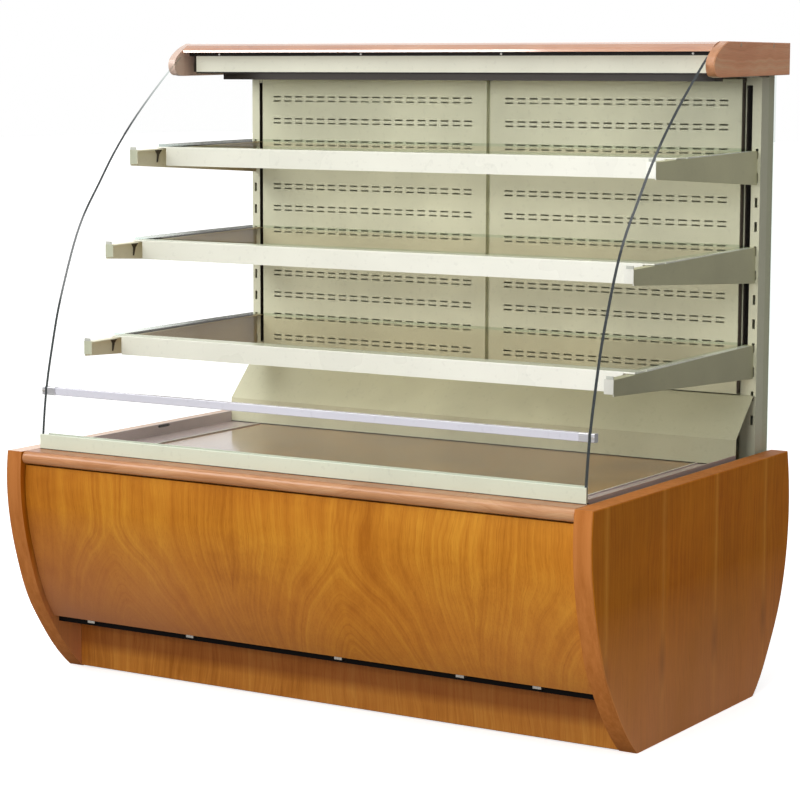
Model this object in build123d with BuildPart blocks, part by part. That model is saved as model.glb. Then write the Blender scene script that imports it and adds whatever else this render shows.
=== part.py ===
"""Refrigerated pastry display case, open front, three glass shelves.

Millimetres. X to the right, Y from the front to the back, Z up.
The origin lies on the floor in the middle of the case.
Depths d are counted backwards from the front of the top molding.
"""
import math
import os

from build123d import *

# ---------------------------------------------------------------- dimensions
case_height = 1332.0          # floor to canopy top
depth_ref = 445.5             # middle of the case, as a depth d
panel_in = 646.6              # inner face of a side panel
panel_out = 685.0             # outer face of a side panel
panel_top = 490.0
panel_edge_radius = 3.0
panel_corner_radius = 10.0
wood_t = 16.0                 # front panel and kick plate
front_half = 644.0            # half width of the front panel
molding_half = 645.0
molding_z0, molding_z1 = 463.7, 490.0
kick_d, kick_z0, kick_z1 = 185.5, 2.0, 98.0

pane_in, pane_out = 635.0, 641.0      # side glass
pane_foot, pane_head = 443.0, 1302.0
glass_t = 6.0
lean = 0.1545                 # front glass, depth per millimetre of height
front_glass_foot, front_glass_top = 493.0, 616.0
front_glass_half = 632.0
rail_z0, rail_z1 = 602.0, 618.0
rail_d0, rail_d1 = 72.6, 87.0
rail_half = 615.0
clamp_out = 648.0

tub_half, tub_d0, tub_d1 = 632.0, 62.0, 850.0
tub_z0, tub_z1 = 255.0, 466.0
tub_wall = 40.0
tub_in_half, tub_in_d0, tub_in_d1, tub_in_z0 = 592.0, 102.0, 800.0, 295.0
deck_z = 472.0
deck_t = 6.0
deck_half, deck_d0, deck_d1 = 547.0, 142.5, 719.0
trim_in, trim_out, trim_top = 547.6, 634.0, 495.5

frame_half, frame_d0, frame_d1 = 640.0, 212.0, 752.0
tube = 30.0
foot_h = 30.0

upright_in, upright_out = 614.5, 634.5
upright_d0, upright_d1 = 815.0, 850.0
upright_top = 1262.0
slot_pitch, slot_first, slot_count = 50.0, 557.0, 12
slot_w, slot_h = 6.0, 20.0
slot_x = 626.2

back_d = 802.0                # front face of the perforated back panels
back_in, back_out = 5.0, 596.5
back_z0, back_z1 = 611.0, 1258.0
slit_cols, slit_rows = 18, 12
slit_pitch_x, slit_pitch_z = 29.7, 49.6
slit_first_x, slit_first_z = 51.5, 664.0
slit_l, slit_w, slit_pair = 20.0, 3.2, 9.6

skirt_d, crease_z = 724.0, 526.0
slope_top_d, slope_top_z = 805.0, 608.0

rear_wall_d0, rear_wall_d1 = 850.0, 877.0
rear_wall_z0, rear_wall_z1 = 470.0, 1320.0

web_out = 627.2               # outer face of a shelf bracket
web_t = 2.0
flange_in = 607.2
rail_front_half = 600.0       # half width of a shelf's front rail
lip_setback = 91.0
lip_h = 40.0
ledge = 45.0
shelf_glass_half = 624.0
shelf_glass_rear = 795.0
shelves = {                   # nose d, nose z, nose height, rear z, rear height
    "upper_shelf": (349.6, 1102.3, 33.0, 1112.2, 69.5),
    "middle_shelf": (262.2, 904.3, 30.0, 914.9, 74.0),
    "lower_shelf": (186.2, 703.9, 31.0, 712.9, 69.6),
}

cap_in, cap_out = 641.5, 660.0
canopy_rear = 896.0
canopy_mid = 594.0            # where the front rail meets the top board
canopy_top_z0 = 1320.0
light_half = 621.0
light_d0, light_d1, light_z0, light_z1 = 582.0, 640.0, 1269.0, 1304.5

fan_r, fan_x, fan_z = 75.0, 220.0, 378.0
fan_plate_d = 330.0
cond_fan_r, cond_fan_x, cond_fan_z = 78.0, 130.0, 152.0
shaft_r, shaft_fit = 3.0, 0.05

# controls at the back of the canopy
rocker_x = {"main_switch": 500.0, "light_switch": 540.0}
button_x = {"button_set": 366.0, "button_defrost": 436.0}
control_z = 1295.0
panel_d = canopy_rear - 4.8   # front of the control panel

# side outline, front curve from the floor up and rear curve from the top down
front_curve = [(190, 0), (140, 49), (92, 113), (57, 170), (28, 245), (8, 318), (-4, 400), (0, 490)]
rear_curve = [(872, 490), (883, 420), (883, 318), (871, 247), (841, 162), (791, 81), (761, 40), (720, 0)]
front_panel_curve = [(94, 128), (68.5, 170), (40, 245), (20, 318), (8, 400), (10, 461)]
pane_curve = [(57.4, 491), (62.6, 545), (70, 600), (80, 650), (94, 705), (112, 770), (135, 832), (160, 892),
              (185, 942), (216, 988), (252, 1031), (290, 1078), (330, 1122), (372, 1163), (418, 1203),
              (475, 1249), (512, 1277), (541, 1298), (547, 1302)]

os.makedirs("parts", exist_ok=True)


def yd(d):
    """Depth from the molding front to the Y of the model."""
    return d - depth_ref


def pts(points):
    """(d, z) pairs to the (Y, Z) pairs of a side sketch."""
    return [(yd(d), z) for d, z in points]


def offset_points(points, t):
    """Points moved by t to the right of the way they run."""
    out = []
    for i, p in enumerate(points):
        a = points[max(i - 1, 0)]
        b = points[min(i + 1, len(points) - 1)]
        dx, dz = b[0] - a[0], b[1] - a[1]
        n = math.hypot(dx, dz)
        out.append((p[0] + dz / n * t, p[1] - dx / n * t))
    return out


def block(x0, x1, d0, d1, z0, z1, mode=Mode.ADD):
    """A plain box between two corners, in the part that is being built."""
    with Locations(((x0 + x1) / 2, yd((d0 + d1) / 2), (z0 + z1) / 2)):
        Box(x1 - x0, d1 - d0, z1 - z0, mode=mode)


def glass_line(z):
    """Depth of the front glass's outer face at a height."""
    return 58.5 + (z - front_glass_foot) * lean


# ------------------------------------------------------------ cabinet panels
with BuildPart() as side_panel_right:
    with BuildSketch(Plane.YZ.offset(panel_in)) as side_panel_sketch:
        with BuildLine():
            front_edge = Spline(*pts(front_curve))
            top_edge = Line(front_edge @ 1, pts(rear_curve)[0])
            rear_edge = Spline(*pts(rear_curve))
            floor_edge = Line(rear_edge @ 1, front_edge @ 0)
        make_face()
        fillet([v for v in side_panel_sketch.vertices() if v.Z > panel_top - 1], radius=panel_corner_radius)
    extrude(amount=panel_out - panel_in)
    outer = side_panel_right.faces().sort_by(Axis.X)[-1]
    fillet(outer.edges().filter_by(lambda edge: (edge @ 0.5).Z > 1), radius=panel_edge_radius)
with BuildPart() as side_panel_left:
    mirror(side_panel_right.part, about=Plane.YZ)

with BuildPart() as front_panel:
    with BuildSketch(Plane.YZ.offset(-front_half)):
        with BuildLine():
            face_line = Spline(*pts(front_panel_curve))
            back_line = Spline(*pts(offset_points(front_panel_curve, wood_t)))
            Line(face_line @ 0, back_line @ 0)
            Line(face_line @ 1, back_line @ 1)
        make_face()
    extrude(amount=2 * front_half)

with BuildPart() as top_molding:
    half_t = (molding_z1 - molding_z0) / 2
    with BuildSketch(Plane.YZ.offset(-molding_half)):
        with Locations((yd(half_t), molding_z0 + half_t)):
            Circle(half_t)
        with Locations((yd((half_t + tub_d0) / 2), molding_z0 + half_t)):
            Rectangle(tub_d0 - half_t, 2 * half_t)
    extrude(amount=2 * molding_half)

with BuildPart() as kick_plate:
    with BuildSketch(Plane.YZ.offset(-646)):
        with Locations((yd(kick_d + wood_t / 2), (kick_z0 + kick_z1) / 2)):
            RectangleRounded(wood_t, kick_z1 - kick_z0, 2.5)
    extrude(amount=1292)

with BuildPart() as front_panel_clips:
    for clip_x in (-548, -291, 72, 351, 519):
        block(clip_x - 9, clip_x + 9, 98, 112, 121.5, 126.5)

with BuildPart() as front_fascia:
    block(-634, 634, 54, 75, 490, 492.5)
    block(-641.5, 641.5, 54, 56.5, 490, 521)
    block(-634, 634, 72.5, 75, deck_z, 521)
    fillet(front_fascia.edges().filter_by(Axis.X).group_by(Axis.Z)[-1].sort_by(Axis.Y)[0], radius=1.5)

# ----------------------------------------------------------------- base frame
with BuildPart() as base_frame:
    block(-frame_half, frame_half, frame_d0, frame_d0 + tube, foot_h, foot_h + tube)
    block(-frame_half, frame_half, frame_d1 - tube, frame_d1, foot_h, foot_h + tube)
    for side in (-1, 1):
        x_a, x_b = sorted((side * frame_half, side * (frame_half - tube)))
        block(x_a, x_b, frame_d0, frame_d1, foot_h, foot_h + tube)
        block(x_a, x_b, frame_d0, frame_d0 + tube, foot_h, tub_z0)
        block(x_a, x_b, frame_d1 - tube, frame_d1, foot_h, tub_z0)
        block(x_a, x_b, frame_d0, frame_d1, tub_z0 - 25, tub_z0)
    # machine tray
    block(-608, 608, 214, 750, foot_h + tube, foot_h + tube + 2)
    block(-608, 608, 214, 216, foot_h + tube, foot_h + tube + 14)
    block(-608, 608, 748, 750, foot_h + tube, foot_h + tube + 14)
    # rail behind the gap under the front panel
    block(-646, 646, 112, 115, 113, 134)
    block(-646, 646, 112, 142, 113, 116)
    block(-638, -612, 140, 212, 113, 134)
    block(612, 638, 140, 212, 113, 134)

with BuildPart() as levelling_feet:
    for side in (-1, 1):
        for foot_d in (frame_d0 + tube / 2, frame_d1 - tube / 2):
            with Locations((side * 560, yd(foot_d), 0)):
                Cone(22, 16, 10, align=(Align.CENTER, Align.CENTER, Align.MIN))
                Cylinder(5, foot_h, align=(Align.CENTER, Align.CENTER, Align.MIN))
            with BuildSketch(Plane.XY.offset(foot_h - 7)):
                with Locations((side * 560, yd(foot_d))):
                    RegularPolygon(9.5, 6)
            extrude(amount=7)

tray_z = foot_h + tube + 2

with BuildPart() as rear_service_grille:
    grille_line = [(757, 50), (779, 84), (828, 165), (857, 247), (871, 320), (872, 380), (870, 434)]
    with BuildSketch(Plane.YZ.offset(-646)):
        with BuildLine():
            outer_line = Spline(*pts(grille_line))
            inner_line = Spline(*pts(offset_points(grille_line, -2.0)))
            Line(outer_line @ 0, inner_line @ 0)
            Line(outer_line @ 1, inner_line @ 1)
        make_face()
    extrude(amount=1292)
    # louvre slots of the machine compartment and of the gland
    with BuildSketch(Plane.XZ.offset(-yd(900))):
        with Locations((-300, 170)):
            with GridLocations(48, 22, 9, 6):
                SlotOverall(40, 8)
        with Locations((300, 170)):
            with GridLocations(48, 22, 9, 6):
                SlotOverall(40, 8)
    extrude(amount=160, mode=Mode.SUBTRACT)
    with BuildSketch(Plane.XZ.offset(-yd(900))):
        with Locations((520, 370)):
            Circle(10.2)
    extrude(amount=60, mode=Mode.SUBTRACT)

with BuildPart() as power_inlet:
    with Locations(Location((520, yd(873.4), 370), (-90, 0, 0))):
        Cylinder(10, 18, align=(Align.CENTER, Align.CENTER, Align.MAX))
        Cone(11.5, 8, 14, align=(Align.CENTER, Align.CENTER, Align.MIN))
    with BuildSketch(Plane.XZ.offset(-yd(873.4))):
        with Locations((520, 370)):
            RegularPolygon(13.5, 6)
    extrude(amount=-6)
    with BuildSketch(Plane.XZ.offset(-yd(862.5))):
        with Locations((520, 370)):
            RegularPolygon(13.5, 6)
    extrude(amount=-6)
    with Locations(Location((520, yd(873.4), 370), (-90, 0, 0))):
        Cylinder(4.5, 80, mode=Mode.SUBTRACT)

# ---------------------------------------------------------- tub and deck
with BuildPart() as insulated_tub:
    block(-tub_half, tub_half, tub_d0, tub_d1, tub_z0, tub_z1)
    block(-tub_in_half, tub_in_half, tub_in_d0, tub_in_d1, tub_in_z0, tub_z1 + 1, mode=Mode.SUBTRACT)
    with BuildSketch(Plane.XY.offset(tub_z0 - 1)):
        with Locations((420, yd(360))):
            Circle(11.0)
        with Locations((-470, yd(560))):
            Rectangle(60, 30)
    extrude(amount=60, mode=Mode.SUBTRACT)
    # bars that carry the deck
    for bar_d in (132.0, 712.0):
        block(-tub_in_half, tub_in_half, bar_d, bar_d + 22, 463.5, tub_z1)
        block(-tub_in_half, tub_in_half, bar_d, bar_d + 2.5, 444, tub_z1)

with BuildPart() as deck_panel:
    block(-deck_half, deck_half, deck_d0, deck_d1, deck_z - deck_t, deck_z)
    fillet(deck_panel.edges().filter_by(Axis.X).group_by(Axis.Z)[-1], radius=2.0)

with BuildPart() as return_air_grille:
    block(-deck_half, deck_half, 76, deck_d0 - 0.6, deck_z - deck_t, deck_z)
    with BuildSketch(Plane.XY.offset(deck_z)):
        with Locations((0, yd(109.5))):
            with GridLocations(22, 50, 48, 1):
                Rectangle(8, 50)
    extrude(amount=-deck_t, mode=Mode.SUBTRACT)

with BuildPart() as deck_side_trims:
    block(trim_in, trim_out, 76, 722, deck_z - deck_t, deck_z)
    block(trim_out - 2, trim_out, 76, 722, deck_z - deck_t, trim_top)
    # low bead beside the deck
    block(trim_in, trim_in + 3, 76, 719, deck_z - deck_t, deck_z + 1.5)
    mirror(about=Plane.YZ)

with BuildPart() as side_glass_channels:
    block(632.2, 646.4, 70, 868, 438, 456)
    block(634.9, 641.1, 60, 880, pane_foot, 460, mode=Mode.SUBTRACT)
    # filler between the pane and the side panel
    block(641.2, 646.4, 70, 868, 455, 488.5)
    mirror(about=Plane.YZ)

with BuildPart() as lower_rear_panel:
    with BuildSketch(Plane.YZ.offset(-633)):
        Polygon(*pts([(742, 466), (724, 466), (724, 526.3), (804.4, 608), (814, 608), (814, 606.4),
                      (805.1, 606.4), (725.6, 525.6), (725.6, 467.6), (742, 467.6)]), align=None)
    extrude(amount=1266)

# ----------------------------------------------- uprights and back panels
def upright_profile(x0, x1, d0, d1):
    """Square tube with a row of bracket slots in its front face."""
    block(x0, x1, d0, d1, tub_z1, upright_top)
    block(x0 + 2, x1 - 2, d0 + 2, d1 - 2, tub_z1 - 1, upright_top + 1, mode=Mode.SUBTRACT)


with BuildPart() as uprights:
    upright_profile(upright_in, upright_out, upright_d0, upright_d1)
    with BuildSketch(Plane.XZ.offset(-yd(upright_d0))):
        with Locations((slot_x, slot_first + slot_pitch * (slot_count - 1) / 2)):
            with GridLocations(1, slot_pitch, 1, slot_count):
                Rectangle(slot_w, slot_h)
    extrude(amount=-2, mode=Mode.SUBTRACT)
    # strips between the uprights and the back panels
    block(599.4, 604, 816, 849.9, tub_z1, upright_top)
    block(603, 614.5, 816, 817.5, tub_z1, 648)
    block(603, 614.5, 816, 817.5, 1246, upright_top)
    mirror(about=Plane.YZ)
    upright_profile(-10, 10, upright_d0, upright_d1)
    with BuildSketch(Plane.XZ.offset(-yd(upright_d0))):
        with Locations((0, slot_first + slot_pitch * (slot_count - 1) / 2)):
            with GridLocations(1, slot_pitch, 1, slot_count):
                Rectangle(slot_w, slot_h)
    extrude(amount=-2, mode=Mode.SUBTRACT)

with BuildPart() as air_panel_right:
    with BuildSketch(Plane.XZ.offset(-yd(back_d))):
        with Locations(((back_in + back_out) / 2, (back_z0 + back_z1) / 2)):
            Rectangle(back_out - back_in, back_z1 - back_z0)
        with Locations((slit_first_x + slit_pitch_x * (slit_cols - 1) / 2,
                        slit_first_z + slit_pitch_z * (slit_rows - 1) / 2 + slit_pair / 2)):
            with GridLocations(slit_pitch_x, slit_pitch_z, slit_cols, slit_rows):
                Rectangle(slit_l, slit_w, mode=Mode.SUBTRACT)
        with Locations((slit_first_x + slit_pitch_x * (slit_cols - 1) / 2,
                        slit_first_z + slit_pitch_z * (slit_rows - 1) / 2 - slit_pair / 2)):
            with GridLocations(slit_pitch_x, slit_pitch_z, slit_cols, slit_rows):
                Rectangle(slit_l, slit_w, mode=Mode.SUBTRACT)
    extrude(amount=-1.2)
    block(back_in, back_in + 1.2, back_d, upright_d0, back_z0, back_z1)
    block(back_out - 1.2, back_out, back_d, upright_d0, back_z0, back_z1)
with BuildPart() as air_panel_left:
    mirror(air_panel_right.part, about=Plane.YZ)

with BuildPart() as rear_wall:
    block(-634.5, 634.5, rear_wall_d0, rear_wall_d1, rear_wall_z0, rear_wall_z1)
    block(-630, 630, rear_wall_d0, 858, 420, rear_wall_z0)
    # recess for the controls
    block(330, 570, 861, rear_wall_d1 + 1, 1274, 1316, mode=Mode.SUBTRACT)

# ------------------------------------------------------------------- shelves
for shelf, (nose_d, nose_z, nose_h, rear_z, rear_h) in shelves.items():
    slope = (rear_z - nose_z) / (upright_d0 - nose_d)
    under = ((rear_z - rear_h) - (nose_z - nose_h)) / (upright_d0 - nose_d)

    def top(d):
        return nose_z + (d - nose_d) * slope

    def low(d):
        return nose_z - nose_h + (d - nose_d) * under

    hook = slot_first + slot_pitch * math.floor((rear_z - 5 - slot_first) / slot_pitch)
    with BuildPart() as brackets:
        with BuildSketch(Plane.YZ.offset(web_out - web_t)):
            Polygon(*pts([(nose_d, low(nose_d)), (nose_d, nose_z), (upright_d0, rear_z),
                          (upright_d0, low(upright_d0))]), align=None)
            for hook_z in (hook, hook - slot_pitch):
                with Locations((yd(upright_d0 + 2), hook_z - 2.5)):
                    Rectangle(5, 14)
                with Locations((yd(upright_d0 + 3.6), hook_z - 7)):
                    Rectangle(1.8, 20)
        extrude(amount=web_t)
        with BuildSketch(Plane.YZ.offset(flange_in)):
            Polygon(*pts([(nose_d, nose_z - 2), (nose_d, nose_z), (upright_d0, rear_z),
                          (upright_d0, rear_z - 2)]), align=None)
        extrude(amount=web_out - flange_in)
        block(flange_in, web_out, nose_d - 1.5, nose_d + 0.5, low(nose_d) + 4, nose_z + 1)
        mirror(about=Plane.YZ)
    brackets.part.label = shelf + "_brackets"
    export_step(brackets.part, "parts/" + shelf + "_brackets.step")

    lip_d = nose_d + lip_setback
    lip_top = nose_z + 5
    with BuildPart() as lip:
        lip_in = web_out - web_t - 0.4
        block(-lip_in, lip_in, lip_d, lip_d + ledge, top(lip_d + ledge) + 0.1, lip_top)
        block(-rail_front_half, rail_front_half, lip_d, lip_d + 1.8, lip_top - lip_h, lip_top)
        block(-rail_front_half, rail_front_half, lip_d, lip_d + 14, lip_top - lip_h, lip_top - lip_h + 1.8)
        fillet(lip.edges().filter_by(Axis.X).group_by(Axis.Z)[-1].sort_by(Axis.Y)[0], radius=1.2)
    lip.part.label = shelf + "_rail"
    export_step(lip.part, "parts/" + shelf + "_rail.step")

    rise = top(shelf_glass_rear) + 0.3
    with BuildPart() as plate:
        with BuildSketch(Plane.YZ.offset(-shelf_glass_half)):
            Polygon(*pts([(lip_d + 2, lip_top + 0.3), (lip_d + ledge, lip_top + 0.3), (shelf_glass_rear, rise),
                          (shelf_glass_rear, rise + glass_t), (lip_d + 2, lip_top + 0.3 + glass_t)]), align=None)
        extrude(amount=2 * shelf_glass_half)
        chamfer(plate.edges().filter_by(Axis.Z), length=3)
    plate.part.label = shelf + "_glass"
    export_step(plate.part, "parts/" + shelf + "_glass.step")

# --------------------------------------------------------------- front glass
with BuildPart() as front_glass:
    with BuildSketch(Plane.YZ.offset(-front_glass_half)):
        Polygon(*pts([(glass_line(front_glass_foot), front_glass_foot), (glass_line(front_glass_top), front_glass_top),
                      (glass_line(front_glass_top) + 6.07, front_glass_top),
                      (glass_line(front_glass_foot) + 6.07, front_glass_foot)]), align=None)
    extrude(amount=2 * front_glass_half)

groove = [(glass_line(590) - 0.05, 590), (glass_line(616.1) - 0.05, 616.1),
          (glass_line(616.1) + 6.12, 616.1), (glass_line(590) + 6.12, 590)]
with BuildPart() as glass_rail:
    block(-rail_half, rail_half, rail_d0, rail_d1, rail_z0, rail_z1)
    fillet(glass_rail.edges().filter_by(Axis.X), radius=1.5)
    with BuildSketch(Plane.YZ.offset(-rail_half - 1)):
        Polygon(*pts(groove), align=None)
    extrude(amount=2 * rail_half + 2, mode=Mode.SUBTRACT)

with BuildPart() as rail_clamps:
    block(rail_half + 0.2, clamp_out, 71, 86, 601.5, 618.5)
    fillet(rail_clamps.edges().filter_by(Axis.X), radius=2.0)
    with BuildSketch(Plane.YZ.offset(rail_half)):
        Polygon(*pts(groove), align=None)
    extrude(amount=front_glass_half + 0.3 - rail_half, mode=Mode.SUBTRACT)
    block(pane_in - 0.1, pane_out + 0.1, 60, 100, 590, 630, mode=Mode.SUBTRACT)
    with Locations(Location((644.6, yd(71), 610), (90, 0, 0))):
        Cylinder(1.55, 20, mode=Mode.SUBTRACT)
    mirror(about=Plane.YZ)

with BuildPart() as side_glass_right:
    with BuildSketch(Plane.YZ.offset(pane_in)):
        with BuildLine():
            pane_edge = Spline(*pts(pane_curve))
            Polyline(pane_edge @ 1, *pts([(872, pane_head), (872, pane_foot), (66, pane_foot), (66, 491)]),
                     pane_edge @ 0)
        make_face()
    extrude(amount=pane_out - pane_in)
with BuildPart() as side_glass_left:
    mirror(side_glass_right.part, about=Plane.YZ)

# -------------------------------------------------------------------- canopy
with BuildPart() as canopy_caps:
    with BuildSketch(Plane.YZ.offset(cap_in)):
        with BuildLine():
            nose = Spline(*pts([(552, 1262.5), (532, 1273), (530, 1291), (546, 1309.5), (568.5, 1322.5), (canopy_mid, 1332)]))
            Polyline(nose @ 1, *pts([(canopy_rear, 1332), (canopy_rear, 1267), (564, 1261)]), nose @ 0)
        make_face()
    extrude(amount=cap_out - cap_in)
    fillet(canopy_caps.faces().sort_by(Axis.X)[-1].edges(), radius=2.0)
    mirror(about=Plane.YZ)

with BuildPart() as canopy_front_rail:
    with BuildSketch(Plane.YZ.offset(-cap_in + 0.2)):
        Polygon(*pts([(557.5, 1312), (559.5, 1317), (565.5, 1322), (574.5, 1327), (584.5, 1330.5), (canopy_mid - 1, 1332),
                      (canopy_mid - 1, 1320), (640, 1320), (640, 1312)]), align=None)
    extrude(amount=2 * cap_in - 0.4)

with BuildPart() as canopy_seal:
    block(-cap_in + 0.3, cap_in - 0.3, 584, 640, light_z1, 1312)
with BuildPart() as fixing_screws:
    with Locations(Location((644.6, yd(71), 610), (90, 0, 0))):
        Cylinder(2.6, 1.4, align=(Align.CENTER, Align.CENTER, Align.MIN))
        Cylinder(1.5, 9.0, align=(Align.CENTER, Align.CENTER, Align.MAX))
    mirror(about=Plane.YZ)
    for screw_x in (-559, -188, 155, 589):
        with Locations(Location((screw_x, yd(584), 1308.2), (90, 0, 0))):
            Cylinder(2.4, 1.8, align=(Align.CENTER, Align.CENTER, Align.MIN))

with BuildPart() as canopy_top:
    block(-cap_in + 0.2, cap_in - 0.2, canopy_mid, canopy_rear, canopy_top_z0, case_height)
    block(-cap_in + 0.2, cap_in - 0.2, canopy_rear - 12, canopy_rear, 1267, canopy_top_z0 - 0.1)
    block(-cap_in + 0.2, cap_in - 0.2, rear_wall_d1, canopy_rear - 12, 1267, 1270)
    block(330, 570, 860, 920, 1274, 1316, mode=Mode.SUBTRACT)

with BuildPart() as canopy_light_panel:
    block(-light_half, light_half, light_d0, light_d1, light_z1 - 1.5, light_z1)
    block(-light_half, light_half, light_d0, light_d0 + 1.5, light_z0, light_z1)
    block(-light_half, light_half, light_d1 - 1.5, light_d1, light_z0, light_z1)
    block(578, 600, 604, 624, 1276, light_z1 - 1)
    block(-600, -578, 604, 624, 1276, light_z1 - 1)

with BuildPart() as lamp:
    with BuildSketch(Plane.YZ.offset(-578)):
        with Locations((yd(614), 1288)):
            Circle(8)
    extrude(amount=1156)

with BuildPart() as canopy_ribs:
    for rib_x in (-628, -1.5, 625):
        with BuildSketch(Plane.YZ.offset(rib_x)):
            Polygon(*pts([(641, 1269.2), (700.4, 1269.2), (700.4, 1264), (803, 1264), (803, 1262), (850, 1262),
                          (850, 1320), (641, 1320)]), align=None)
        extrude(amount=3)
    block(-624.8, 624.8, 700.6, 801.8, 1262.3, 1263.9)

with BuildPart() as air_discharge_grille:
    block(-600, 600, 655, 700, 1253.5, 1269)
    with BuildSketch(Plane.XY.offset(1253.5)):
        with Locations((0, yd(677.5))):
            with GridLocations(24, 18, 49, 2):
                Rectangle(21, 15)
    extrude(amount=17, mode=Mode.SUBTRACT)

# ------------------------------------------------------------------ controls
with BuildPart() as control_box:
    block(330.3, 569.7, panel_d - 29, panel_d, 1274.3, 1315.7)
    block(332.3, 567.7, panel_d - 27, panel_d + 1, 1276.3, 1313.7, mode=Mode.SUBTRACT)
    for x in rocker_x.values():
        block(x - 12, x + 12, panel_d - 26.8, panel_d - 8, control_z - 16, control_z + 16)
        block(x - 12, x - 10.2, panel_d - 8, panel_d - 0.2, control_z - 16, control_z + 16)
        block(x + 10.2, x + 12, panel_d - 8, panel_d - 0.2, control_z - 16, control_z + 16)

with BuildPart() as controller_face:
    block(330.3, 569.7, panel_d, panel_d + 3, 1274.3, 1315.7)
    for x in rocker_x.values():
        block(x - 10, x + 10, panel_d - 6, panel_d + 9, control_z - 14, control_z + 14, mode=Mode.SUBTRACT)
    for x in button_x.values():
        with Locations(Location((x, yd(panel_d + 1), control_z), (90, 0, 0))):
            Cylinder(4.6, 20, mode=Mode.SUBTRACT)
    block(380, 422, panel_d + 2.2, panel_d + 9, 1285, 1305, mode=Mode.SUBTRACT)

for name, x in button_x.items():
    with BuildPart() as button:
        with Locations(Location((x, yd(panel_d + 4.2), control_z), (-90, 0, 0))):
            Cylinder(4.2, 9, align=(Align.CENTER, Align.CENTER, Align.MAX))
        with Locations(Location((x, yd(panel_d - 0.4), control_z), (-90, 0, 0))):
            Cylinder(6.0, 1.8, align=(Align.CENTER, Align.CENTER, Align.MAX))
        fillet(button.edges().sort_by(Axis.Y)[-1], radius=0.8)
    button.part.label = name
    export_step(button.part, "parts/" + name + ".step")

rocker_axis_d = panel_d - 2.0
for name, x in rocker_x.items():
    tilt = math.radians(8)
    profile = [(0.6, -12.6), (5.4, -12.6), (4.0, 0), (5.4, 12.6), (0.6, 12.6), (-4.6, 5), (-4.6, -5)]
    turned = [(rocker_axis_d + a * math.cos(tilt) - b * math.sin(tilt),
               control_z + a * math.sin(tilt) + b * math.cos(tilt)) for a, b in profile]
    with BuildPart() as rocker:
        with BuildSketch(Plane.YZ.offset(x - 9.4)):
            Polygon(*pts(turned), align=None)
        extrude(amount=18.8)
    rocker.part.label = name
    export_step(rocker.part, "parts/" + name + ".step")

# -------------------------------------------------- evaporator side, in tub
with BuildPart() as evaporator_fan_plate:
    block(-591.5, 591.5, fan_plate_d, fan_plate_d + 3, tub_in_z0, 462)
    for side in (-1, 1):
        with Locations(Location((side * fan_x, yd(fan_plate_d), fan_z), (90, 0, 0))):
            Cylinder(fan_r + 4, 30, mode=Mode.SUBTRACT)

with BuildPart() as fan_motors:
    for side in (-1, 1):
        with Locations(Location((side * fan_x, yd(352), fan_z), (-90, 0, 0))):
            Cylinder(30, 44, align=(Align.CENTER, Align.CENTER, Align.MIN))
        with Locations(Location((side * fan_x, yd(352), fan_z), (-90, 0, 0))):
            Cylinder(shaft_r, 48, align=(Align.CENTER, Align.CENTER, Align.MAX))
        block(side * fan_x - 84, side * fan_x + 84, 362, 366, fan_z - 5, fan_z + 5)
        block(side * fan_x - 88, side * fan_x - 80, 333, 366, fan_z - 5, fan_z + 5)
        block(side * fan_x + 80, side * fan_x + 88, 333, 366, fan_z - 5, fan_z + 5)
    with Locations(Location((cond_fan_x, yd(340), cond_fan_z), (-90, 0, 0))):
        Cylinder(36, 60, align=(Align.CENTER, Align.CENTER, Align.MIN))
        Cylinder(shaft_r, 36, align=(Align.CENTER, Align.CENTER, Align.MAX))
    block(cond_fan_x - 20, cond_fan_x + 20, 345, 395, tray_z, cond_fan_z - 30)

def fan_rotor(radius, hub_r, hub_l, blades, pitch):
    """Axial rotor about the local Z axis, with its bore."""
    Cylinder(hub_r, hub_l)
    blade_l = radius - hub_r + 3
    with PolarLocations(hub_r - 3 + blade_l / 2, blades):
        Box(blade_l, 2.0, hub_l * 1.05, rotation=(pitch, 0, 0))
    Cylinder(shaft_r + shaft_fit, hub_l * 3, mode=Mode.SUBTRACT)


for name, side in (("evaporator_fan_left", -1), ("evaporator_fan_right", 1)):
    with BuildPart(Plane(origin=(side * fan_x, yd(317), fan_z), x_dir=(1, 0, 0), z_dir=(0, -1, 0))) as rotor:
        fan_rotor(fan_r, 22, 24, 5, 48)
    rotor.part.label = name
    export_step(rotor.part, "parts/" + name + ".step")

with BuildPart() as evaporator_coil:
    block(-420, 420, 430, 630, 300, 430)
    block(-424, -421, 424, 636, tub_in_z0, 436)
    block(421, 424, 424, 636, tub_in_z0, 436)
    block(-421.5, 421.5, 470, 480, 302, 312)
    for u_d in (455, 505, 555, 605):
        with Locations((424, yd(u_d), 365)):
            Cylinder(5, 60)
            with Locations((6, 0, 0)):
                Box(14, 10, 70)

# ----------------------------------------------- condensing unit, on the tray
with BuildPart() as compressor:
    with BuildSketch(Plane.XZ.offset(-yd(500))):
        with BuildLine():
            Polyline((-330, 72), (-250, 72), (-250, 90), (-248, 150), (-252, 190))
            Spline((-252, 190), (-262, 214), (-290, 230), (-330, 235))
            Line((-330, 235), (-330, 72))
        make_face()
    revolve(axis=Axis((-330, yd(500), 0), (0, 0, 1)))
    block(-410, -250, 425, 575, 72, 76)
    for foot_x in (-402, -258):
        for foot_d in (433, 567):
            with Locations((foot_x, yd(foot_d), tray_z)):
                Cylinder(7, 10, align=(Align.CENTER, Align.CENTER, Align.MIN))
    with Locations((-237, yd(500), 120)):
        Box(30, 50, 60)

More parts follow.
